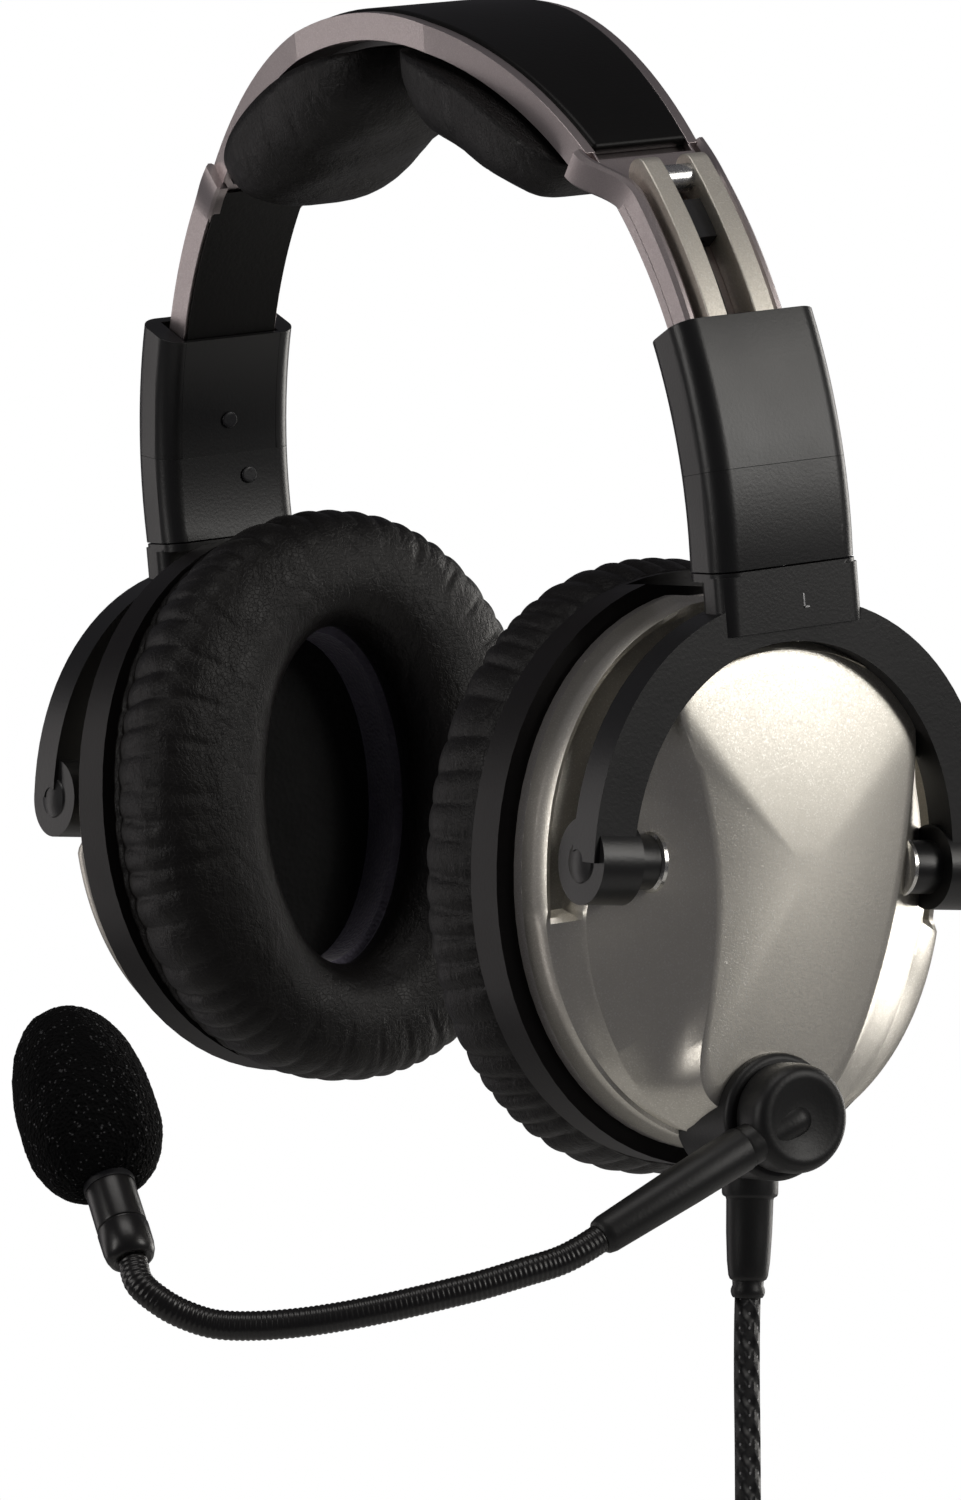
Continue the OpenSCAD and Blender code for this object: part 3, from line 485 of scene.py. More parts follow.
def swept(bm, path, radius, sides):
    """A round tube along points, with a UV that goes once round and on in metres along it."""
    uv = bm.loops.layers.uv.get("UVMap") or bm.loops.layers.uv.new("UVMap")
    points = [Vector(p) for p in path]
    rows, across, run = [], Vector((1, 0, 0)), [0.0]
    for i, point in enumerate(points):
        ahead = points[min(i + 1, len(points) - 1)] - points[max(i - 1, 0)]
        ahead.normalize()
        across = across - ahead * ahead.dot(across)
        across.normalize()
        other = ahead.cross(across)
        rows.append([
            bm.verts.new(point + (across * math.cos(turned) + other * math.sin(turned)) * radius)
            for turned in (math.tau * k / sides for k in range(sides))
        ])
        if i:
            run.append(run[-1] + (point - points[i - 1]).length)
    for i in range(len(rows) - 1):
        for k in range(sides):
            m = (k + 1) % sides
            face = bm.faces.new((rows[i][k], rows[i][m], rows[i + 1][m], rows[i + 1][k]))
            spots = ((k, i), (k + 1, i), (k + 1, i + 1), (k, i + 1))
            for loop, (u, v) in zip(face.loops, spots):
                loop[uv].uv = (u / sides, run[v])
    bm.faces.new(rows[0][::-1])
    bm.faces.new(rows[-1])


def smooth_path(points, per=6):
    """A Catmull-Rom curve through the points."""
    points = [Vector(p) for p in points]
    line = []
    for i in range(len(points) - 1):
        a, b = points[i], points[i + 1]
        before = points[i - 1] if i else a - (b - a)
        after = points[i + 2] if i + 2 < len(points) else b + (b - a)
        for k in range(per):
            t = k / per
            line.append(0.5 * (
                2 * a + (b - before) * t + (2 * before - 5 * a + 4 * b - after) * t * t
                + (3 * a - before - 3 * b + after) * t ** 3
            ))
    line.append(points[-1])
    return line


# ---- Cord ----
OUTLET = Vector((12.0, 5.6, -(CUP_Z + RING_LIP)))
RELIEF_LEN = 22.6
RELIEF_END = OUTLET - Vector((0, 0, RELIEF_LEN))
CORD_PATH = [
    (0, 0, 0), (0, 0, -5), (0, 0.2, -14), (0, 0.6, -24), (0, 1, -36), (0, 1.4, -50), (0, 1.6, -62),
    (0, 1.6, -70), (0, 1.6, -75),
]
COIL_R = 14.0
COIL_LOOPS = 5
COIL_PITCH = CORD_D + 1.05
COIL_INNER = COIL_LOOPS - 0.25
COIL_OUT_R = COIL_R + COIL_PITCH * COIL_INNER
COIL_STEPS = 24
LEAD_D = 3.6
LEAD_PATH = [(2.6, 0), (2.6, -4), (3.4, -12), (5.6, -22), (8.2, -32), (9.4, -42), (9.5, -48), (9.5, -54)]
TAIL_LEN = 46.0
SPLIT_LEN = 24.0


def coil_point(start, t):
    """The cord's place after t loops: in along the front layer, across, and out along the back one."""
    if t < COIL_INNER:
        radius, layer = COIL_R + COIL_PITCH * (COIL_INNER - t), 0.0
    elif t > COIL_INNER + 0.5:
        radius, layer = COIL_R + COIL_PITCH * (t - COIL_INNER - 0.5), 1.0
    else:
        radius, layer = COIL_R, (t - COIL_INNER) / 0.5
    angle = math.pi + math.tau * t
    return start + Vector((
        COIL_PITCH * layer, COIL_OUT_R + radius * math.cos(angle), radius * math.sin(angle),
    ))


def cord_line():
    """The whole cord from the strain relief, through its coil, to the splitter, in the cup's axes."""
    drop = smooth_path([RELIEF_END + Vector(p) for p in CORD_PATH], 3)
    coil_top = drop[-1]
    start = coil_top - Vector((0, 0, 2 * CORD_D))
    line = drop + [coil_top - Vector((0, 0, CORD_D))]
    line += [coil_point(start, i / COIL_STEPS) for i in range(COIL_STEPS * 2 * COIL_LOOPS + 1)]
    end = line[-1]
    line += [end - Vector((0, 0, k * CORD_D)) for k in (1, 2)]
    tail = line[-1]
    line += [tail - Vector((0, 0, TAIL_LEN * k / 6)) for k in range(1, 7)]
    return line


def length_of(line):
    return sum((b - a).length for a, b in zip(line, line[1:]))


def build_cord():
    """The main cord with its coil, and the two leads below the splitter."""
    line = [CUP["left"] @ p for p in cord_line()]
    bm = bmesh.new()
    swept(bm, line, CORD_D / 2 * MM, 16)
    cord = new_piece("main_cord", bm, "cup_left", "cord_black")
    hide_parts("cord_drop", "cord_coil", "cord_tail")
    leads = []
    split = cord_line()[-1] - Vector((0, 0, SPLIT_LEN))
    for name, sign in (("phone_lead", 1), ("mic_lead", -1)):
        path = smooth_path([split + Vector((0, sign * y, z)) for y, z in LEAD_PATH], 4)
        lead_line = [CUP["left"] @ p for p in path]
        bm = bmesh.new()
        swept(bm, lead_line, LEAD_D / 2 * MM, 14)
        lead = new_piece(name, bm, "cup_left", "cord_black")
        leads.append((lead, lead_line))
    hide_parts("plug_leads")
    length_of(line)
    for (lead, lead_line), plug in zip(leads, ("headphone_plug", "mic_plug")):
        length_of(lead_line)


build_cord()


# ---- Turned parts ----
def spun(bm, profile, place, steps=64):
    """Turns a profile of (radius, height) pairs round the place's own Z."""
    before = set(bm.verts)
    spots = [bm.verts.new((radius, 0, height)) for radius, height in profile]
    edges = [bm.edges.new(pair) for pair in zip(spots, spots[1:])]
    bmesh.ops.spin(
        bm, geom=spots + edges, cent=(0, 0, 0), axis=(0, 0, 1), angle=math.tau, steps=steps,
        use_merge=True, use_duplicate=False,
    )
    made = [vert for vert in bm.verts if vert not in before]
    bmesh.ops.remove_doubles(bm, verts=made, dist=0.001)
    made = [vert for vert in bm.verts if vert not in before]
    bmesh.ops.transform(bm, matrix=place, verts=made)
    faces = [face for face in bm.faces if all(vert not in before for vert in face.verts)]
    bmesh.ops.recalc_face_normals(bm, faces=faces)
    return made


def facing(spot, direction):
    return Matrix.Translation(Vector(spot)) @ Vector(direction).to_track_quat("Z", "Y").to_matrix().to_4x4()


def curved(profile, per=5):
    """The same profile with its corners rounded off."""
    points = smooth_path([(r, 0, h) for r, h in profile], per)
    return [(max(p.x, 0), p.z) for p in points]


def turned_part(name, node, body, slot_name, profile, place, steps=64, crisp=35):
    bm = bmesh.new()
    spun(bm, profile, place, steps)
    sharpen(bm, crisp)
    piece = new_piece(name, bm, body, slot_name)
    if node:
        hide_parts(node)
    return piece


# ---- Boom, gooseneck and microphone ----
BOOM_N = CUP_DEPTH + 2.5
BOOM_Y = -2.2
BOOM_Z = -(CUP_Z - 7)
PUCK_H = 7.5
ARM_DROP = 28
ARM_LEN = 42.6
ARM_D = 7.7
ARM_ROOT = 10.4
ARM_N = BOOM_N + PUCK_H / 2 - 1.2
ARM_WAY = Vector((0, -math.cos(math.radians(ARM_DROP)), -math.sin(math.radians(ARM_DROP))))
ARM_END = Vector((ARM_N, BOOM_Y, BOOM_Z)) + ARM_WAY * ARM_LEN
GOOSENECK_D = 5.0
# The gooseneck's ribs: how far apart, how deep, and how full at each quarter of their pitch
RIB_PITCH = 0.9
RIB_DEPTH = 0.16
RIB_SWELL = (0.0, 0.72, 1.0, 0.72)
GOOSENECK_PATH = [
    (0, 0, 0), (0, -3.8, -2.02), (-0.6, -8, -3.9), (-1.4, -14, -5.6), (-3, -21, -7.7), (-5, -28, -9.5),
    (-7.8, -36, -11.5), (-11, -43, -13.1), (-14.5, -49.5, -14.3), (-18.5, -55.5, -15), (-22, -60.8, -14.9),
    (-24.4, -65.2, -13.5), (-26.2, -68.9, -11.4), (-29.18, -71.43, -8.49), (-32.2, -71.2, -5),
]
MIC_ROOT = ARM_END + Vector(GOOSENECK_PATH[-1])
MIC_DIR = Vector((-2.6, 0.2, 3)).normalized()
SLEEVE_LEN = 15.0
SLEEVE_R = 4.4
WINDSCREEN_D = 23.6
WINDSCREEN_LEN = 37.0
WINDSCREEN_BELLY = 0.37 * WINDSCREEN_LEN
MIC = CUP["left"] @ facing(MIC_ROOT, MIC_DIR)


def evenly(points, step):
    """Points a fixed step apart along a line."""
    line, spare = [points[0]], 0.0
    for low, high in zip(points, points[1:]):
        length = (high - low).length
        at = step - spare
        while at <= length:
            line.append(low + (high - low) * (at / length))
            at += step
        spare = (spare + length) % step
    return line


def gooseneck():
    """A spring wound tube: close ribs round a bent core."""
    path = evenly(smooth_path([ARM_END + Vector(p) for p in GOOSENECK_PATH], 24), RIB_PITCH / len(RIB_SWELL))
    bm = bmesh.new()
    rings = []
    for i, spot in enumerate(path):
        ahead = path[min(i + 1, len(path) - 1)] - path[max(i - 1, 0)]
        size = GOOSENECK_D / 2 - RIB_DEPTH * (1 - RIB_SWELL[i % len(RIB_SWELL)])
        made = bmesh.ops.create_circle(bm, segments=24, radius=size, matrix=CUP["left"] @ facing(spot, ahead))
        rings.append(made["verts"])
    loops = [list({edge for vert in ring for edge in vert.link_edges}) for ring in rings]
    for low, high in zip(loops, loops[1:]):
        bmesh.ops.bridge_loops(bm, edges=low + high)
    bmesh.ops.recalc_face_normals(bm, faces=bm.faces)
    neck = new_piece("gooseneck_ribs", bm, "boom", "gooseneck_black")
    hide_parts("gooseneck")


def boom_cap():
    """The turning cap: a shallow dished button with the arm growing out of a raised rib on its face."""
    bm = bmesh.new()
    out = CUP["left"] @ facing((BOOM_N, BOOM_Y, BOOM_Z), (1, 0, 0))
    dish = [
        (0, 6.35), (3, 6.45), (5.6, 6.85), (7.2, 7.15), (8.4, 6.8), (9.15, 5.7), (9.4, 4.2), (9.4, 0.5),
        (9.1, 0.0),
    ]
    spun(bm, curved(dish, 6) + [(0, 0)], out, 96)
    crest = Vector((BOOM_N + 4.5, BOOM_Y, BOOM_Z)) + ARM_WAY * 0.6
    edge = Vector((ARM_N + 0.25, BOOM_Y, BOOM_Z)) + ARM_WAY * ARM_ROOT
    reach = (edge - crest).length
    rib = [
        (0, -2.9), (1.5, -2.55), (2.6, -1.4), (3.05, 0.2), (3.3, 3), (3.65, reach - 0.5), (3.5, reach - 0.2),
    ]
    spun(bm, curved(rib, 5) + [(0, reach - 0.2)], CUP["left"] @ facing(crest, edge - crest), 48)
    sharpen(bm, 50)
    cap = new_piece("boom_cap", bm, "boom", "boom_rubber")
    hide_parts("boom_arm")
    start = Vector((ARM_N, BOOM_Y, BOOM_Z)) + ARM_WAY * ARM_ROOT
    thick, long = ARM_D / 2, ARM_LEN - ARM_ROOT
    sleeve = [
        (0, 0.1), (3.3, 0.1), (3.75, 0.35), (thick + 0.05, 1.0), (thick - 0.05, long * 0.4),
        (thick - 0.5, long - 1.6), (thick - 0.75, long - 0.5), (thick - 1.3, long + 0.05), (2.4, long + 0.1),
        (2.4, long - 1.0), (0, long - 1.0),
    ]
    turned_part("boom_arm_sleeve", None, "boom", "boom_rubber", sleeve, CUP["left"] @ facing(start, ARM_WAY))


def microphone():
    """The sleeve under the windscreen, with a groove round it and two fine ridges on its face."""
    sleeve = [
        (0, 0.3), (2.6, 0.3), (3.2, 0.1), (3.8, 0.5), (4.2, 1.5), (4.38, 2.8), (4.4, 6.4), (4.3, 6.65),
        (4.05, 6.75), (4.05, 7.0), (4.25, 7.15), (4.3, 7.5), (4.25, SLEEVE_LEN), (4.25, SLEEVE_LEN + 1),
        (0, SLEEVE_LEN + 1),
    ]
    turned_part("mic_sleeve_shape", "mic_sleeve", "boom", "gooseneck_black", sleeve, MIC)
    bm = bmesh.new()
    for side in (-1, 1):
        spot = Matrix.Translation((0.9 * side, -SLEEVE_R + 0.22, 11.2))
        bmesh.ops.create_cube(bm, size=1, matrix=MIC @ spot @ Matrix.Diagonal((0.28, 0.5, 7.4, 1)))
    bmesh.ops.bevel(
        bm, geom=list(bm.edges), offset=0.1 * MM, offset_type="OFFSET", segments=2, profile=0.5,
        affect="EDGES", material=-1,
    )
    new_piece("mic_sleeve_ridges", bm, "boom", "gooseneck_black")


def windscreen():
    """Open foam: an egg with a rough skin of pores and small lumps."""
    rows, low, high = 110, -64, 90
    profile = [(SLEEVE_R - 0.3, 1.2)]
    for i in range(rows + 1):
        turned = math.radians(low + (high - low) * i / rows)
        half = WINDSCREEN_BELLY if turned < 0 else WINDSCREEN_LEN - WINDSCREEN_BELLY
        y, z = superoval(turned, WINDSCREEN_D / 2, half, 2.3)
        profile.append((max(y, 0), z + WINDSCREEN_BELLY))
    profile[-1] = (0, WINDSCREEN_LEN)
    bm = bmesh.new()
    spun(bm, profile, Matrix.Translation((0, 0, SLEEVE_LEN)), 150)
    bm.normal_update()
    for vert in bm.verts:
        spot = vert.co
        lumps = noise.fractal(spot * 0.22, 0.8, 2.0, 3)
        pores = noise.noise(spot * 2.1) + 0.7 * noise.noise(spot * 4.3)
        vert.co = spot + vert.normal * (0.16 * lumps + 0.13 * pores)
    bmesh.ops.transform(bm, matrix=MIC, verts=bm.verts)
    bmesh.ops.recalc_face_normals(bm, faces=bm.faces)
    piece = new_piece("windscreen_foam", bm, "boom", "foam_black")
    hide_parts("windscreen")


def strain_relief():
    """The rubber sleeve that holds the cord at the cup: a collar, a long taper and a bead."""
    long = RELIEF_LEN
    profile = [
        (0, -5.5), (2.4, -5.5), (2.4, -0.1), (4.6, -0.1), (4.9, 0.2), (4.9, 0.8), (4.75, 0.95), (4.75, 1.15),
        (4.9, 1.3), (4.9, 4.4), (4.75, 4.85), (4.2, 5.2), (4.1, 5.6), (4.0, long * 0.5), (3.75, long * 0.72),
        (3.45, long - 3.9), (3.2, long - 3.3), (2.75, long - 3.0), (2.7, long - 2.2), (2.95, long - 1.6),
        (3.0, long - 1.1), (2.85, long - 0.5), (2.6, long - 0.1), (2.1, long), (0, long),
    ]
    place = CUP["left"] @ facing(OUTLET, (0, 0, -1))
    turned_part("strain_relief_shape", "strain_relief", "cup_left", "boom_rubber", profile, place, 64, 40)


gooseneck()
boom_cap()
microphone()
windscreen()
strain_relief()


# ---- Cup shells ----
# Closed curves round the cup's face, as (back, up) points, and the heights they lie at
SHELL_HEART = (3.0, 0.0)
PANEL_EDGE = [
    (-15.0, 2.0), (-18.2, 15.5), (-22.3, 25.6), (-21.2, 30.0), (-13.4, 34.6), (-5.0, 37.4), (2.0, 38.0),
    (9.8, 37.1), (18.2, 33.4), (24.2, 28.2), (25.9, 22.5), (25.0, 10.0), (22.8, -4.7), (19.4, -18.0),
    (14.5, -30.7), (8.0, -39.5), (-2.0, -43.0), (-12.5, -40.5), (-16.7, -34.4), (-15.2, -20.7), (-14.3, -9.0),
]
BODY_EDGE = [
    (-33.2, 1.0), (-32.6, 9.0), (-30.4, 17.5), (-26.6, 25.0), (-21.5, 31.4), (-13.4, 35.9), (-5.0, 38.2),
    (2.0, 38.7), (9.8, 37.9), (18.2, 34.6), (25.2, 29.2), (29.4, 22.0), (32.0, 13.0), (33.2, 4.0),
    (34.2, -7.0), (32.6, -17.0), (29.4, -26.0), (24.2, -34.5), (16.5, -42.0), (6.0, -46.0), (-4.0, -46.6),
    (-13.7, -44.6), (-21.6, -39.2), (-27.6, -31.6), (-31.6, -23.4), (-34.2, -14.6), (-35.4, -7.6),
    (-34.0, -3.0),
]
PANEL_N = 30.2
PANEL_DOME = 1.7
PANEL_STEPS = (0.12, 0.35, 0.58, 0.78, 0.92, 0.985)
# The slanted sides' outer edge: its height at the foot and at the waist, and what the top adds
SIDE_FOOT_N = 20.4
SIDE_WAIST_N = 22.6
SIDE_TOP_RISE = 7.0
SIDE_STEPS = (0.25, 0.5, 0.75)
SIDE_BOW = 0.35
POCKET_N = 14.0
LIP_N = 16.8
POCKET_FOOT = -7.4
SHELL_N = 12.1
SHELL_TOP = CUP_Z - 2
SHELL_WALL = 0.8
SHELL_STATIONS = 288
CUP_POWER = 2.1


def curve_reach(points, turned):
    """How far out a closed curve lies from the shell's heart, in a direction."""
    way, heart = Vector((math.cos(turned), math.sin(turned))), Vector(SHELL_HEART)
    count = len(points)
    for i in range(count):
        a, b = Vector(points[i]) - heart, Vector(points[(i + 1) % count]) - heart
        span = b - a
        cross = way.x * span.y - way.y * span.x
        if abs(cross) < 1e-9:
            continue
        along = (a.x * span.y - a.y * span.x) / cross
        share = (a.x * way.y - a.y * way.x) / cross
        if along > 0 and -1e-6 <= share <= 1 + 1e-6:
            return along
    return 0.0


def closed_smooth(points, per=8):
    """A closed curve through the points."""
    rows = round_rows([(y, z, 0) for y, z in points], per)
    return [(p.x, p.y) for p in rows]


def round_rows(rows, per):
    """Smooths a closed list of rows into a finer one."""
    count = len(rows)
    fine = []
    for i in range(count):
        a, b, c, d = (Vector(rows[(i + k) % count]) for k in (-1, 0, 1, 2))
        for k in range(per):
            t = k / per
            fine.append(0.5 * (
                2 * b + (c - a) * t + (2 * a - 5 * b + 4 * c - d) * t * t + (3 * b - a - 3 * c + d) * t ** 3
            ))
    return fine


def ease(value, low, high):
    """From 0 below low to 1 above high, smoothly."""
    t = min(max((value - low) / (high - low), 0), 1)
    return t * t * (3 - 2 * t)


def shell_section(up, across, to_panel, to_body, to_rim):
    """The shell's section in one direction, as (reach, height) pairs from the panel out to the rim."""
    pocket = ease(up, POCKET_FOOT - 1.4, POCKET_FOOT + 0.4)
    top = ease(abs(across), 11, 20)
    side_n = SIDE_FOOT_N + (SIDE_WAIST_N - SIDE_FOOT_N) * ease(up, -20, 0) + SIDE_TOP_RISE * ease(up, 14, 34)
    lip_n = LIP_N - (1 - top) * (2.2 if up > 0 else 0)
    lip_in = to_rim - 2.1 - 0.9 * pocket
    floor_out = max(lip_in - 0.9, to_body + 0.3)
    plain = lip_n + 0.6 - 0.5 * pocket
    steps = [(s * to_panel, PANEL_N + PANEL_DOME * (1 - s * s)) for s in PANEL_STEPS]
    steps.append((to_panel + 0.12, PANEL_N - 0.16))
    for share in SIDE_STEPS:
        bow = SIDE_BOW * math.sin(math.pi * share)
        steps.append((to_panel + (to_body - to_panel) * share, PANEL_N + (side_n - PANEL_N) * share - bow))
    steps.append((to_body - 0.35, side_n))
    steps.append((to_body, side_n - 0.5 - pocket * 0.3))
    slope = [
        (to_body + (lip_in - to_body) * share, side_n - 0.5 + (plain - side_n + 0.5) * share)
        for share in (0.12, 0.5)
    ]
    trench = [(to_body + 0.15, POCKET_N + 0.3), (floor_out, POCKET_N)]
    for a, b in zip(slope, trench):
        steps.append((a[0] + (b[0] - a[0]) * pocket, a[1] + (b[1] - a[1]) * pocket))
    steps += [(lip_in + 0.05, plain - 0.5 * pocket), (lip_in + 0.8, plain - 0.25), (to_rim, SHELL_N)]
    return steps


def cup_shell(side):
    """Domed panel with crisp edges, slanted sides, and the channel that the yoke lies in."""
    panel = closed_smooth(PANEL_EDGE)
    body = closed_smooth(BODY_EDGE)
    outer = [superoval(math.tau * i / 240, CUP_Y, CUP_Z, CUP_POWER) for i in range(240)]
    bm = bmesh.new()
    columns = []
    for k in range(SHELL_STATIONS):
        turned = math.tau * (k + 0.5) / SHELL_STATIONS
        way = Vector((math.cos(turned), math.sin(turned)))
        to_panel, to_body, to_rim = (curve_reach(line, turned) for line in (panel, body, outer))
        across = way.x * to_rim + SHELL_HEART[0]
        column = []
        for reach, n in shell_section(way.y * to_body, across, to_panel, to_body, to_rim):
            y, z = SHELL_HEART[0] + way.x * reach, SHELL_HEART[1] + way.y * reach
            column.append(bm.verts.new(CUP[side] @ Vector((n, y, min(z, SHELL_TOP)))))
        columns.append(column)
    loops = [list(loop) for loop in zip(*columns)]
    ring_bridge(bm, loops)
    bm.faces.new(loops[0])
    bmesh.ops.recalc_face_normals(bm, faces=bm.faces)
    if sum(face.normal.x * SIDES[side] for face in bm.faces) < 0:
        bmesh.ops.reverse_faces(bm, faces=bm.faces)
    sharpen(bm, 26)
    shell = new_piece("cup_shell_" + side + "_skin", bm, "cup_" + side, "cup_metal")
    wall = shell.modifiers.new("wall", "SOLIDIFY")
    wall.thickness = SHELL_WALL * MM
    wall.offset = -1
    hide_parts("cup_shell_" + side)


for which in SIDES:
    cup_shell(which)


# ---- Soft parts ----
EAR_Y = 19.5
EAR_Z = 33.5
CUSHION_Y = 44.4
CUSHION_Z = 53.4
CUSHION_D = 21.0
CUSHION_STATIONS = 560
PLEATS = 60
PLEAT_DEPTH = 1.5
# The cushion's section: how far out between ear opening and outer wall, how deep, and how much it pleats
CUSHION_ROWS = [
    (0.05, 0.00, 0.0), (0.00, 0.20, 0.0), (-0.05, 0.40, 0.0), (-0.07, 0.62, 0.0), (0.03, 0.85, 0.0),
    (0.20, 0.985, 0.0), (0.42, 1.02, 0.02), (0.62, 1.0, 0.06), (0.80, 0.95, 0.2), (0.94, 0.85, 0.5),
    (1.01, 0.69, 0.85), (1.02, 0.52, 1.0), (1.0, 0.35, 1.0), (0.96, 0.19, 0.8), (0.91, 0.08, 0.45),
    (0.90, 0.0, 0.2), (0.5, 0.0, 0.0),
]


def fold_line(turned, seed):
    """Depth of the gathers at one place round the cushion, from 0 on a fold's crest to 1 in its valley."""
    wobble = 0.9 * math.sin(3 * turned + seed) + 0.7 * math.sin(7 * turned + 2.1 * seed)
    wobble += 0.5 * math.sin(11 * turned)
    wave = abs(math.sin(PLEATS * turned / 2 + wobble))
    strength = 0.75 + 0.25 * math.sin(13 * turned + seed * 3) * math.sin(5 * turned - seed)
    return (1 - wave ** 0.55) * strength


def ear_cushion(side):
    """A leather ring round the ear opening, gathered in pleats on its outer wall."""
    seed = 1.3 if side == "left" else 4.1
    rows = round_rows(CUSHION_ROWS, 4)
    bm = bmesh.new()
    rings = []
    for i in range(CUSHION_STATIONS):
        turned = math.tau * i / CUSHION_STATIONS
        inner = Vector(superoval(turned, EAR_Y, EAR_Z, 2.05))
        outer = Vector(superoval(turned, CUSHION_Y, CUSHION_Z, 2.1))
        wide = (outer - inner).length
        ring = []
        for share, depth, pleat in rows:
            skew = 0.035 * math.sin(9 * turned + seed) * (0.5 - depth)
            fold = fold_line(turned + skew, seed)
            swell = 0.35 * math.sin(5 * turned + seed * 2 + 3 * depth) * math.sin(2 * turned + depth * 4)
            push = (-PLEAT_DEPTH * fold * pleat + 0.35 * pleat) / wide
            crease = 0.55 * max(0.0, math.sin(23 * turned + 5 * math.sin(3 * turned + seed))) ** 6
            crease *= 0.6 * max(0, 1 - abs(share - 0.75) * 4)
            level = CUSHION_D * depth + (swell * 0.8 - crease) * min(depth * 2, 1)
            spot = inner + (outer - inner) * (share + push)
            ring.append(bm.verts.new(CUP[side] @ Vector((-level, spot.x, spot.y))))
        rings.append(ring)
    skin(bm, rings + rings[:1])
    bmesh.ops.recalc_face_normals(bm, faces=bm.faces)
    cushion = new_piece("ear_cushion_" + side + "_leather", bm, "cup_" + side, "pad_leather")
    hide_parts("ear_cushion_" + side)


PAD_GAP = 16.0
PAD_LEN = 62.0
PAD_W = 36.0
PAD_T = 16.0
PAD_TOP_R = BAND_R - BAND_H - 1.2
PAD_IN = PAD_GAP / 2 / BAND_R
PAD_OUT = PAD_IN + PAD_LEN / BAND_R


def crown_pad(side):
    """A plump leather block under the arch, drawn in at its ends."""
    sign = SIDES[side]
    bm = bmesh.new()
    stations, around = 72, 56
    rings = []
    for i in range(stations):
        u = i / (stations - 1)
        full = max((1 - abs(2 * u - 1) ** 3.2) ** 0.42, 0.10) if 0 < u < 1 else 0.10
        angle = PAD_IN + (PAD_OUT - PAD_IN) * u
        ring = []
        for j in range(around):
            t = math.tau * (j + 0.5) / around
            c, s = math.cos(t), math.sin(t)
            wide = PAD_W / 2 * (0.42 + 0.58 * full)
            y = wide * math.copysign(abs(c) ** 0.62, c)
            drop = 0 if s > 0 else PAD_T * full * abs(s) ** 0.72
            dent = 0.5 * math.sin(11 * u + 3 * c + sign) * math.sin(4 * c + 5 * u) * full if s < 0 else 0
            fold = 0.5 * max(0, math.sin(34 * u + 4 * c + sign)) ** 8 * abs(c) ** 3 if s < 0 else 0
            r = PAD_TOP_R - 0.3 - drop + dent + fold
            spot = Vector((sign * r * math.sin(angle), y, ARCH_Z + r * math.cos(angle)))
            ring.append(bm.verts.new(spot * MM))
        rings.append(ring)
    skin(bm, rings)
    bm.faces.new(rings[0])
    bm.faces.new(rings[-1])
    bmesh.ops.recalc_face_normals(bm, faces=bm.faces)
    pad = new_piece("crown_pad_" + side + "_leather", bm, "headband", "pad_leather")
    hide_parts("crown_pad_" + side)


for which in SIDES:
    ear_cushion(which)
    crown_pad(which)


# ---- Small parts that the plain solids leave out ----
YOKE_IN_Y = 32.5
BOSS_IN_Y = YOKE_IN_Y - 1.1
YOKE_ARM_W = 8.0
# The ear lining's section, as (inset, depth) pairs
LINING_ROWS = ((0.1, 0.4), (0.1, 10.5), (0.45, 11.0), (0.9, 10.5), (0.9, 0.4))
# The strap's rim: the angles at which the shoulder starts and ends and the rim ends, in degrees, half the
# strap's width, how far out and in the shoulder swings it, and its section as (inward, radius) pairs
SHOULDER_A = (41.5, 51.0)
STRAP_END_A = 69.0
STRAP_HALF_W = 9.9
SHOULDER_OUT = 3.6
SHOULDER_IN = 4.0
STRAP_STEPS = 56
STRAP_RIM = [(0.0, 85.9), (0.5, 85.4), (2.2, 85.4), (2.2, 91.2), (1.4, 91.9), (0.7, 91.9), (0.0, 91.2)]


def ear_lining(side):
    """Grey cloth round the inside of the ear opening, from the speaker's cover up to the leather's roll."""
    bm = bmesh.new()
    loops = []
    stations = 160
    for inset, depth in LINING_ROWS:
        ry, rz = EAR_Y + 0.6 - inset, EAR_Z + 0.6 - inset
        spots = [superoval(math.tau * i / stations, ry, rz, 2.05) for i in range(stations)]
        loops.append([bm.verts.new(CUP[side] @ Vector((-depth, y, z))) for y, z in spots])
    ring_bridge(bm, loops, closed=True)
    bmesh.ops.recalc_face_normals(bm, faces=bm.faces)
    sharpen(bm, 50)
    new_piece("ear_lining_" + side, bm, "cup_" + side, "liner_grey")


def tilt_bosses(side):
    """A sleeve over each tilt pin, with a bright collar by the cup, and a cap over the pin's outer end."""
    sleeve = [(0, 0), (3.9, 0), (4.5, 0.5), (4.7, 1.4), (4.7, 7), (0, 7)]
    collar = [(0, -0.5), (4.6, -0.5), (5.2, -0.2), (5.2, 0.5), (4.7, 0.9), (0, 0.9)]
    cap = [(0, 0.9), (2.0, 0.8), (3.6, 0.3), (4.0, -0.3), (0, -0.3)]
    for name, slot_name, profile, at in (
        ("tilt_sleeve_", "housing_black", sleeve, BOSS_IN_Y - 6.2),
        ("tilt_collar_", "plug_metal", collar, BOSS_IN_Y - 6.0),
        ("tilt_cap_", "housing_black", cap, BOSS_IN_Y + YOKE_ARM_W),
    ):
        for end, sign in (("back_", 1), ("front_", -1)):
            place = CUP[side] @ facing((CUP_PIN.x, sign * at, CUP_PIN.z), (0, sign, 0))
            turned_part(name + end + side, None, "yoke_" + side, slot_name, profile, place, 48)


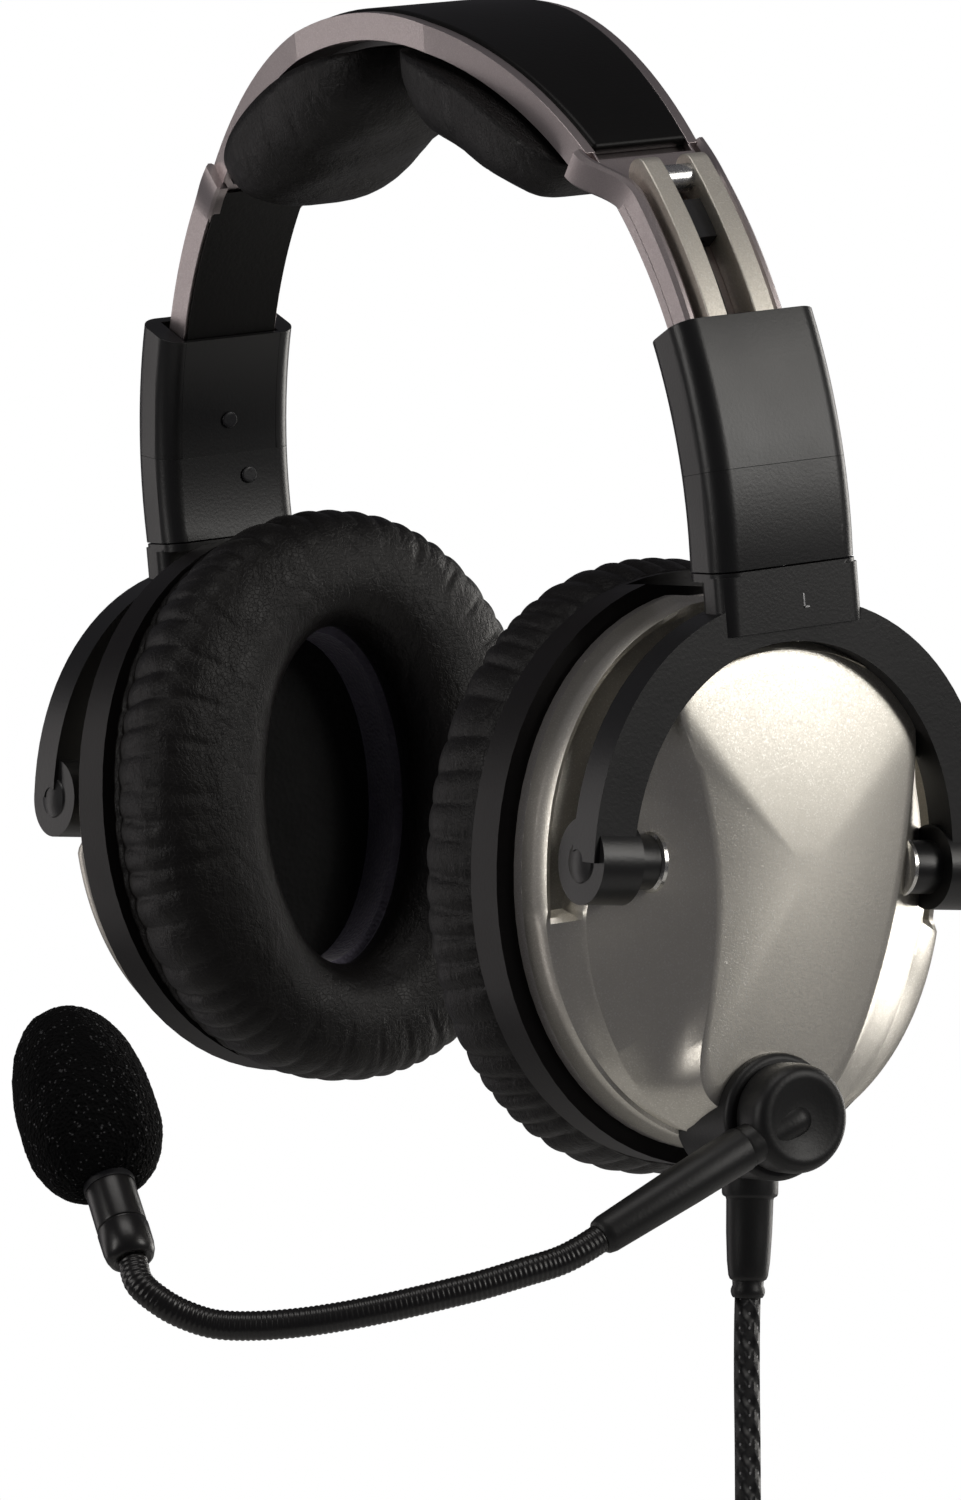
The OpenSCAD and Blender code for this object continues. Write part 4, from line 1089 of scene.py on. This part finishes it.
def strap_rims(side):
    """The metal rim that swings in from the crown's shoulder and runs down each edge of the strap."""
    sign = SIDES[side]
    for end, face in (("front", -1), ("back", 1)):
        bm = bmesh.new()
        loops = []
        for i in range(STRAP_STEPS + 1):
            angle = SHOULDER_A[0] + (STRAP_END_A - SHOULDER_A[0]) * i / STRAP_STEPS
            swing = 1 - ease(angle, *SHOULDER_A)
            loop = []
            for inward, radius in STRAP_RIM:
                y = face * (STRAP_HALF_W + SHOULDER_OUT * swing - inward)
                r = radius - SHOULDER_IN * swing
                turned = math.radians(angle)
                spot = Vector((sign * (RAIL_X + r * math.sin(turned)), y, RAIL_Z + r * math.cos(turned)))
                loop.append(bm.verts.new(spot * MM))
            loops.append(loop)
        ring_bridge(bm, loops)
        bm.faces.new(loops[0])
        bm.faces.new(loops[-1])
        bmesh.ops.recalc_face_normals(bm, faces=bm.faces)
        sharpen(bm, 25)
        new_piece("strap_rim_" + end + "_" + side, bm, "headband", "rim_metal")


# Strokes of the side letters as (across, up, width, height, lean in degrees), in millimetres
LETTERS = {
    "left": [(-0.45, 0, 0.3, 2.5, 0), (0, -1.1, 1.2, 0.3, 0)],
    "right": [
        (-0.5, 0, 0.3, 2.5, 0), (0, 1.1, 0.9, 0.3, 0), (0, 0.1, 0.9, 0.3, 0), (0.5, 0.6, 0.3, 1.1, 0),
        (0.2, -0.65, 0.3, 1.45, 24),
    ],
}
LETTER_SPOT = (104.02, 2.2, -99.9)


def side_letter(side):
    """The side's own letter, printed on the outer face of the yoke's stem."""
    sign = SIDES[side]
    bm = bmesh.new()
    swivel = Matrix.Translation(SWIVEL) @ turn("Z", YAW[side]) @ Matrix.Translation(-SWIVEL)
    flip = Matrix.Scale(sign, 4, (1, 0, 0))
    for across, up, wide, high, lean in LETTERS[side]:
        spot = Matrix.Translation(Vector(LETTER_SPOT) + Vector((0, sign * across, up)))
        block = flip @ swivel @ spot @ turn("X", sign * lean) @ Matrix.Diagonal((0.08, wide, high, 1))
        bmesh.ops.create_cube(bm, size=1, matrix=Matrix.Scale(MM, 4) @ block)
    bmesh.ops.recalc_face_normals(bm, faces=bm.faces)
    new_piece("side_letter_" + side, bm, "yoke_" + side, "bright_steel", smooth=False)


for which in SIDES:
    ear_lining(which)
    tilt_bosses(which)
    strap_rims(which)
    side_letter(which)


# ---- Rigid parts with their edges rounded ----
def round_edges():
    """Gives each hard rigid part the round that its real edges have, in millimetres."""
    for side in SIDES:
        softened("slider_housing_" + side, "slider_" + side, "housing_black", 0.8)
        softened("housing_base_" + side, "slider_" + side, "housing_black", 0.5)
        softened("yoke_" + side, "yoke_" + side, "housing_black", 2.8, segments=6)
        softened("rim_" + side, "cup_" + side, "rim_silver", 0.5)
        softened("baffle_ring_" + side, "cup_" + side, "ring_black", 1.2)
        softened("housing_screws_" + side, "slider_" + side, "clip_dark", 0.3)
        softened("slider_rails_" + side, "headband", "rail_steel", 0.35)
    softened("headband_frame", "headband", "rim_metal", 0.7)
    softened("headband_cover", "headband", "cover_black", 0.9)
    softened("boom_base", "cup_left", "boom_rubber", 1.2)


round_edges()


# ---- Nodes that keep their own shape ----
def dress_nodes():
    """Gives each node that is still shown the finish of its own slot."""
    slots = {part["node"]: part["material_slot"] for part in frame["record"]["subparts"]}
    for name, obj in frame["nodes"].items():
        if not obj.hide_render:
            dress(obj, slots[name])


dress_nodes()


# ---- Room ----
# The strength of the room's light: on the object, in its reflections, and its tint
ROOM_LIGHT = 0.015
ROOM_GLOSS = 0.08
ROOM_TINT = (0.92, 0.9, 1.0)
# The floor's half width, and how far under the headset it lies, in metres
FLOOR_SIZE = 0.9
FLOOR_DROP = 0.25


def floor_paint():
    """A plain pale floor without gloss."""
    material = bpy.data.materials.new("backdrop")
    material.use_nodes = True
    shader = material.node_tree.nodes["Principled BSDF"]
    shader.inputs["Base Color"].default_value = (0.9, 0.9, 0.9, 1)
    shader.inputs["Roughness"].default_value = 0.9
    shader.inputs["Specular IOR Level"].default_value = 0.0
    return material


def build_room():
    """The floor, and a world that is white to the camera and dim to the object."""
    bm = bmesh.new()
    bmesh.ops.create_grid(bm, x_segments=1, y_segments=1, size=FLOOR_SIZE)
    mesh = bpy.data.meshes.new("floor")
    bm.to_mesh(mesh)
    bm.free()
    floor = bpy.data.objects.new("floor", mesh)
    floor.location = (0, 0, CAD_BOX[0][2] - FLOOR_DROP)
    floor.data.materials.append(floor_paint())
    bpy.context.scene.collection.objects.link(floor)
    world = bpy.data.worlds.new("studio")
    bpy.context.scene.world = world
    world.use_nodes = True
    tree = world.node_tree
    back = tree.nodes["Background"]
    path = tree.nodes.new("ShaderNodeLightPath")
    strength = ROOM_LIGHT
    for ray, level in (("Is Glossy Ray", ROOM_GLOSS), ("Is Camera Ray", 1.0)):
        pick = tree.nodes.new("ShaderNodeMix")
        tree.links.new(path.outputs[ray], pick.inputs[0])
        if isinstance(strength, float):
            pick.inputs[2].default_value = strength
        else:
            tree.links.new(strength, pick.inputs[2])
        pick.inputs[3].default_value = level
        strength = pick.outputs[0]
    tint = tree.nodes.new("ShaderNodeMix")
    tint.data_type = "RGBA"
    tree.links.new(path.outputs["Is Camera Ray"], tint.inputs[0])
    tint.inputs[6].default_value = rgba(*ROOM_TINT)
    tint.inputs[7].default_value = (1, 1, 1, 1)
    tree.links.new(tint.outputs[2], back.inputs["Color"])
    tree.links.new(strength, back.inputs["Strength"])


build_room()
bpy.context.scene.view_settings.view_transform = "Standard"
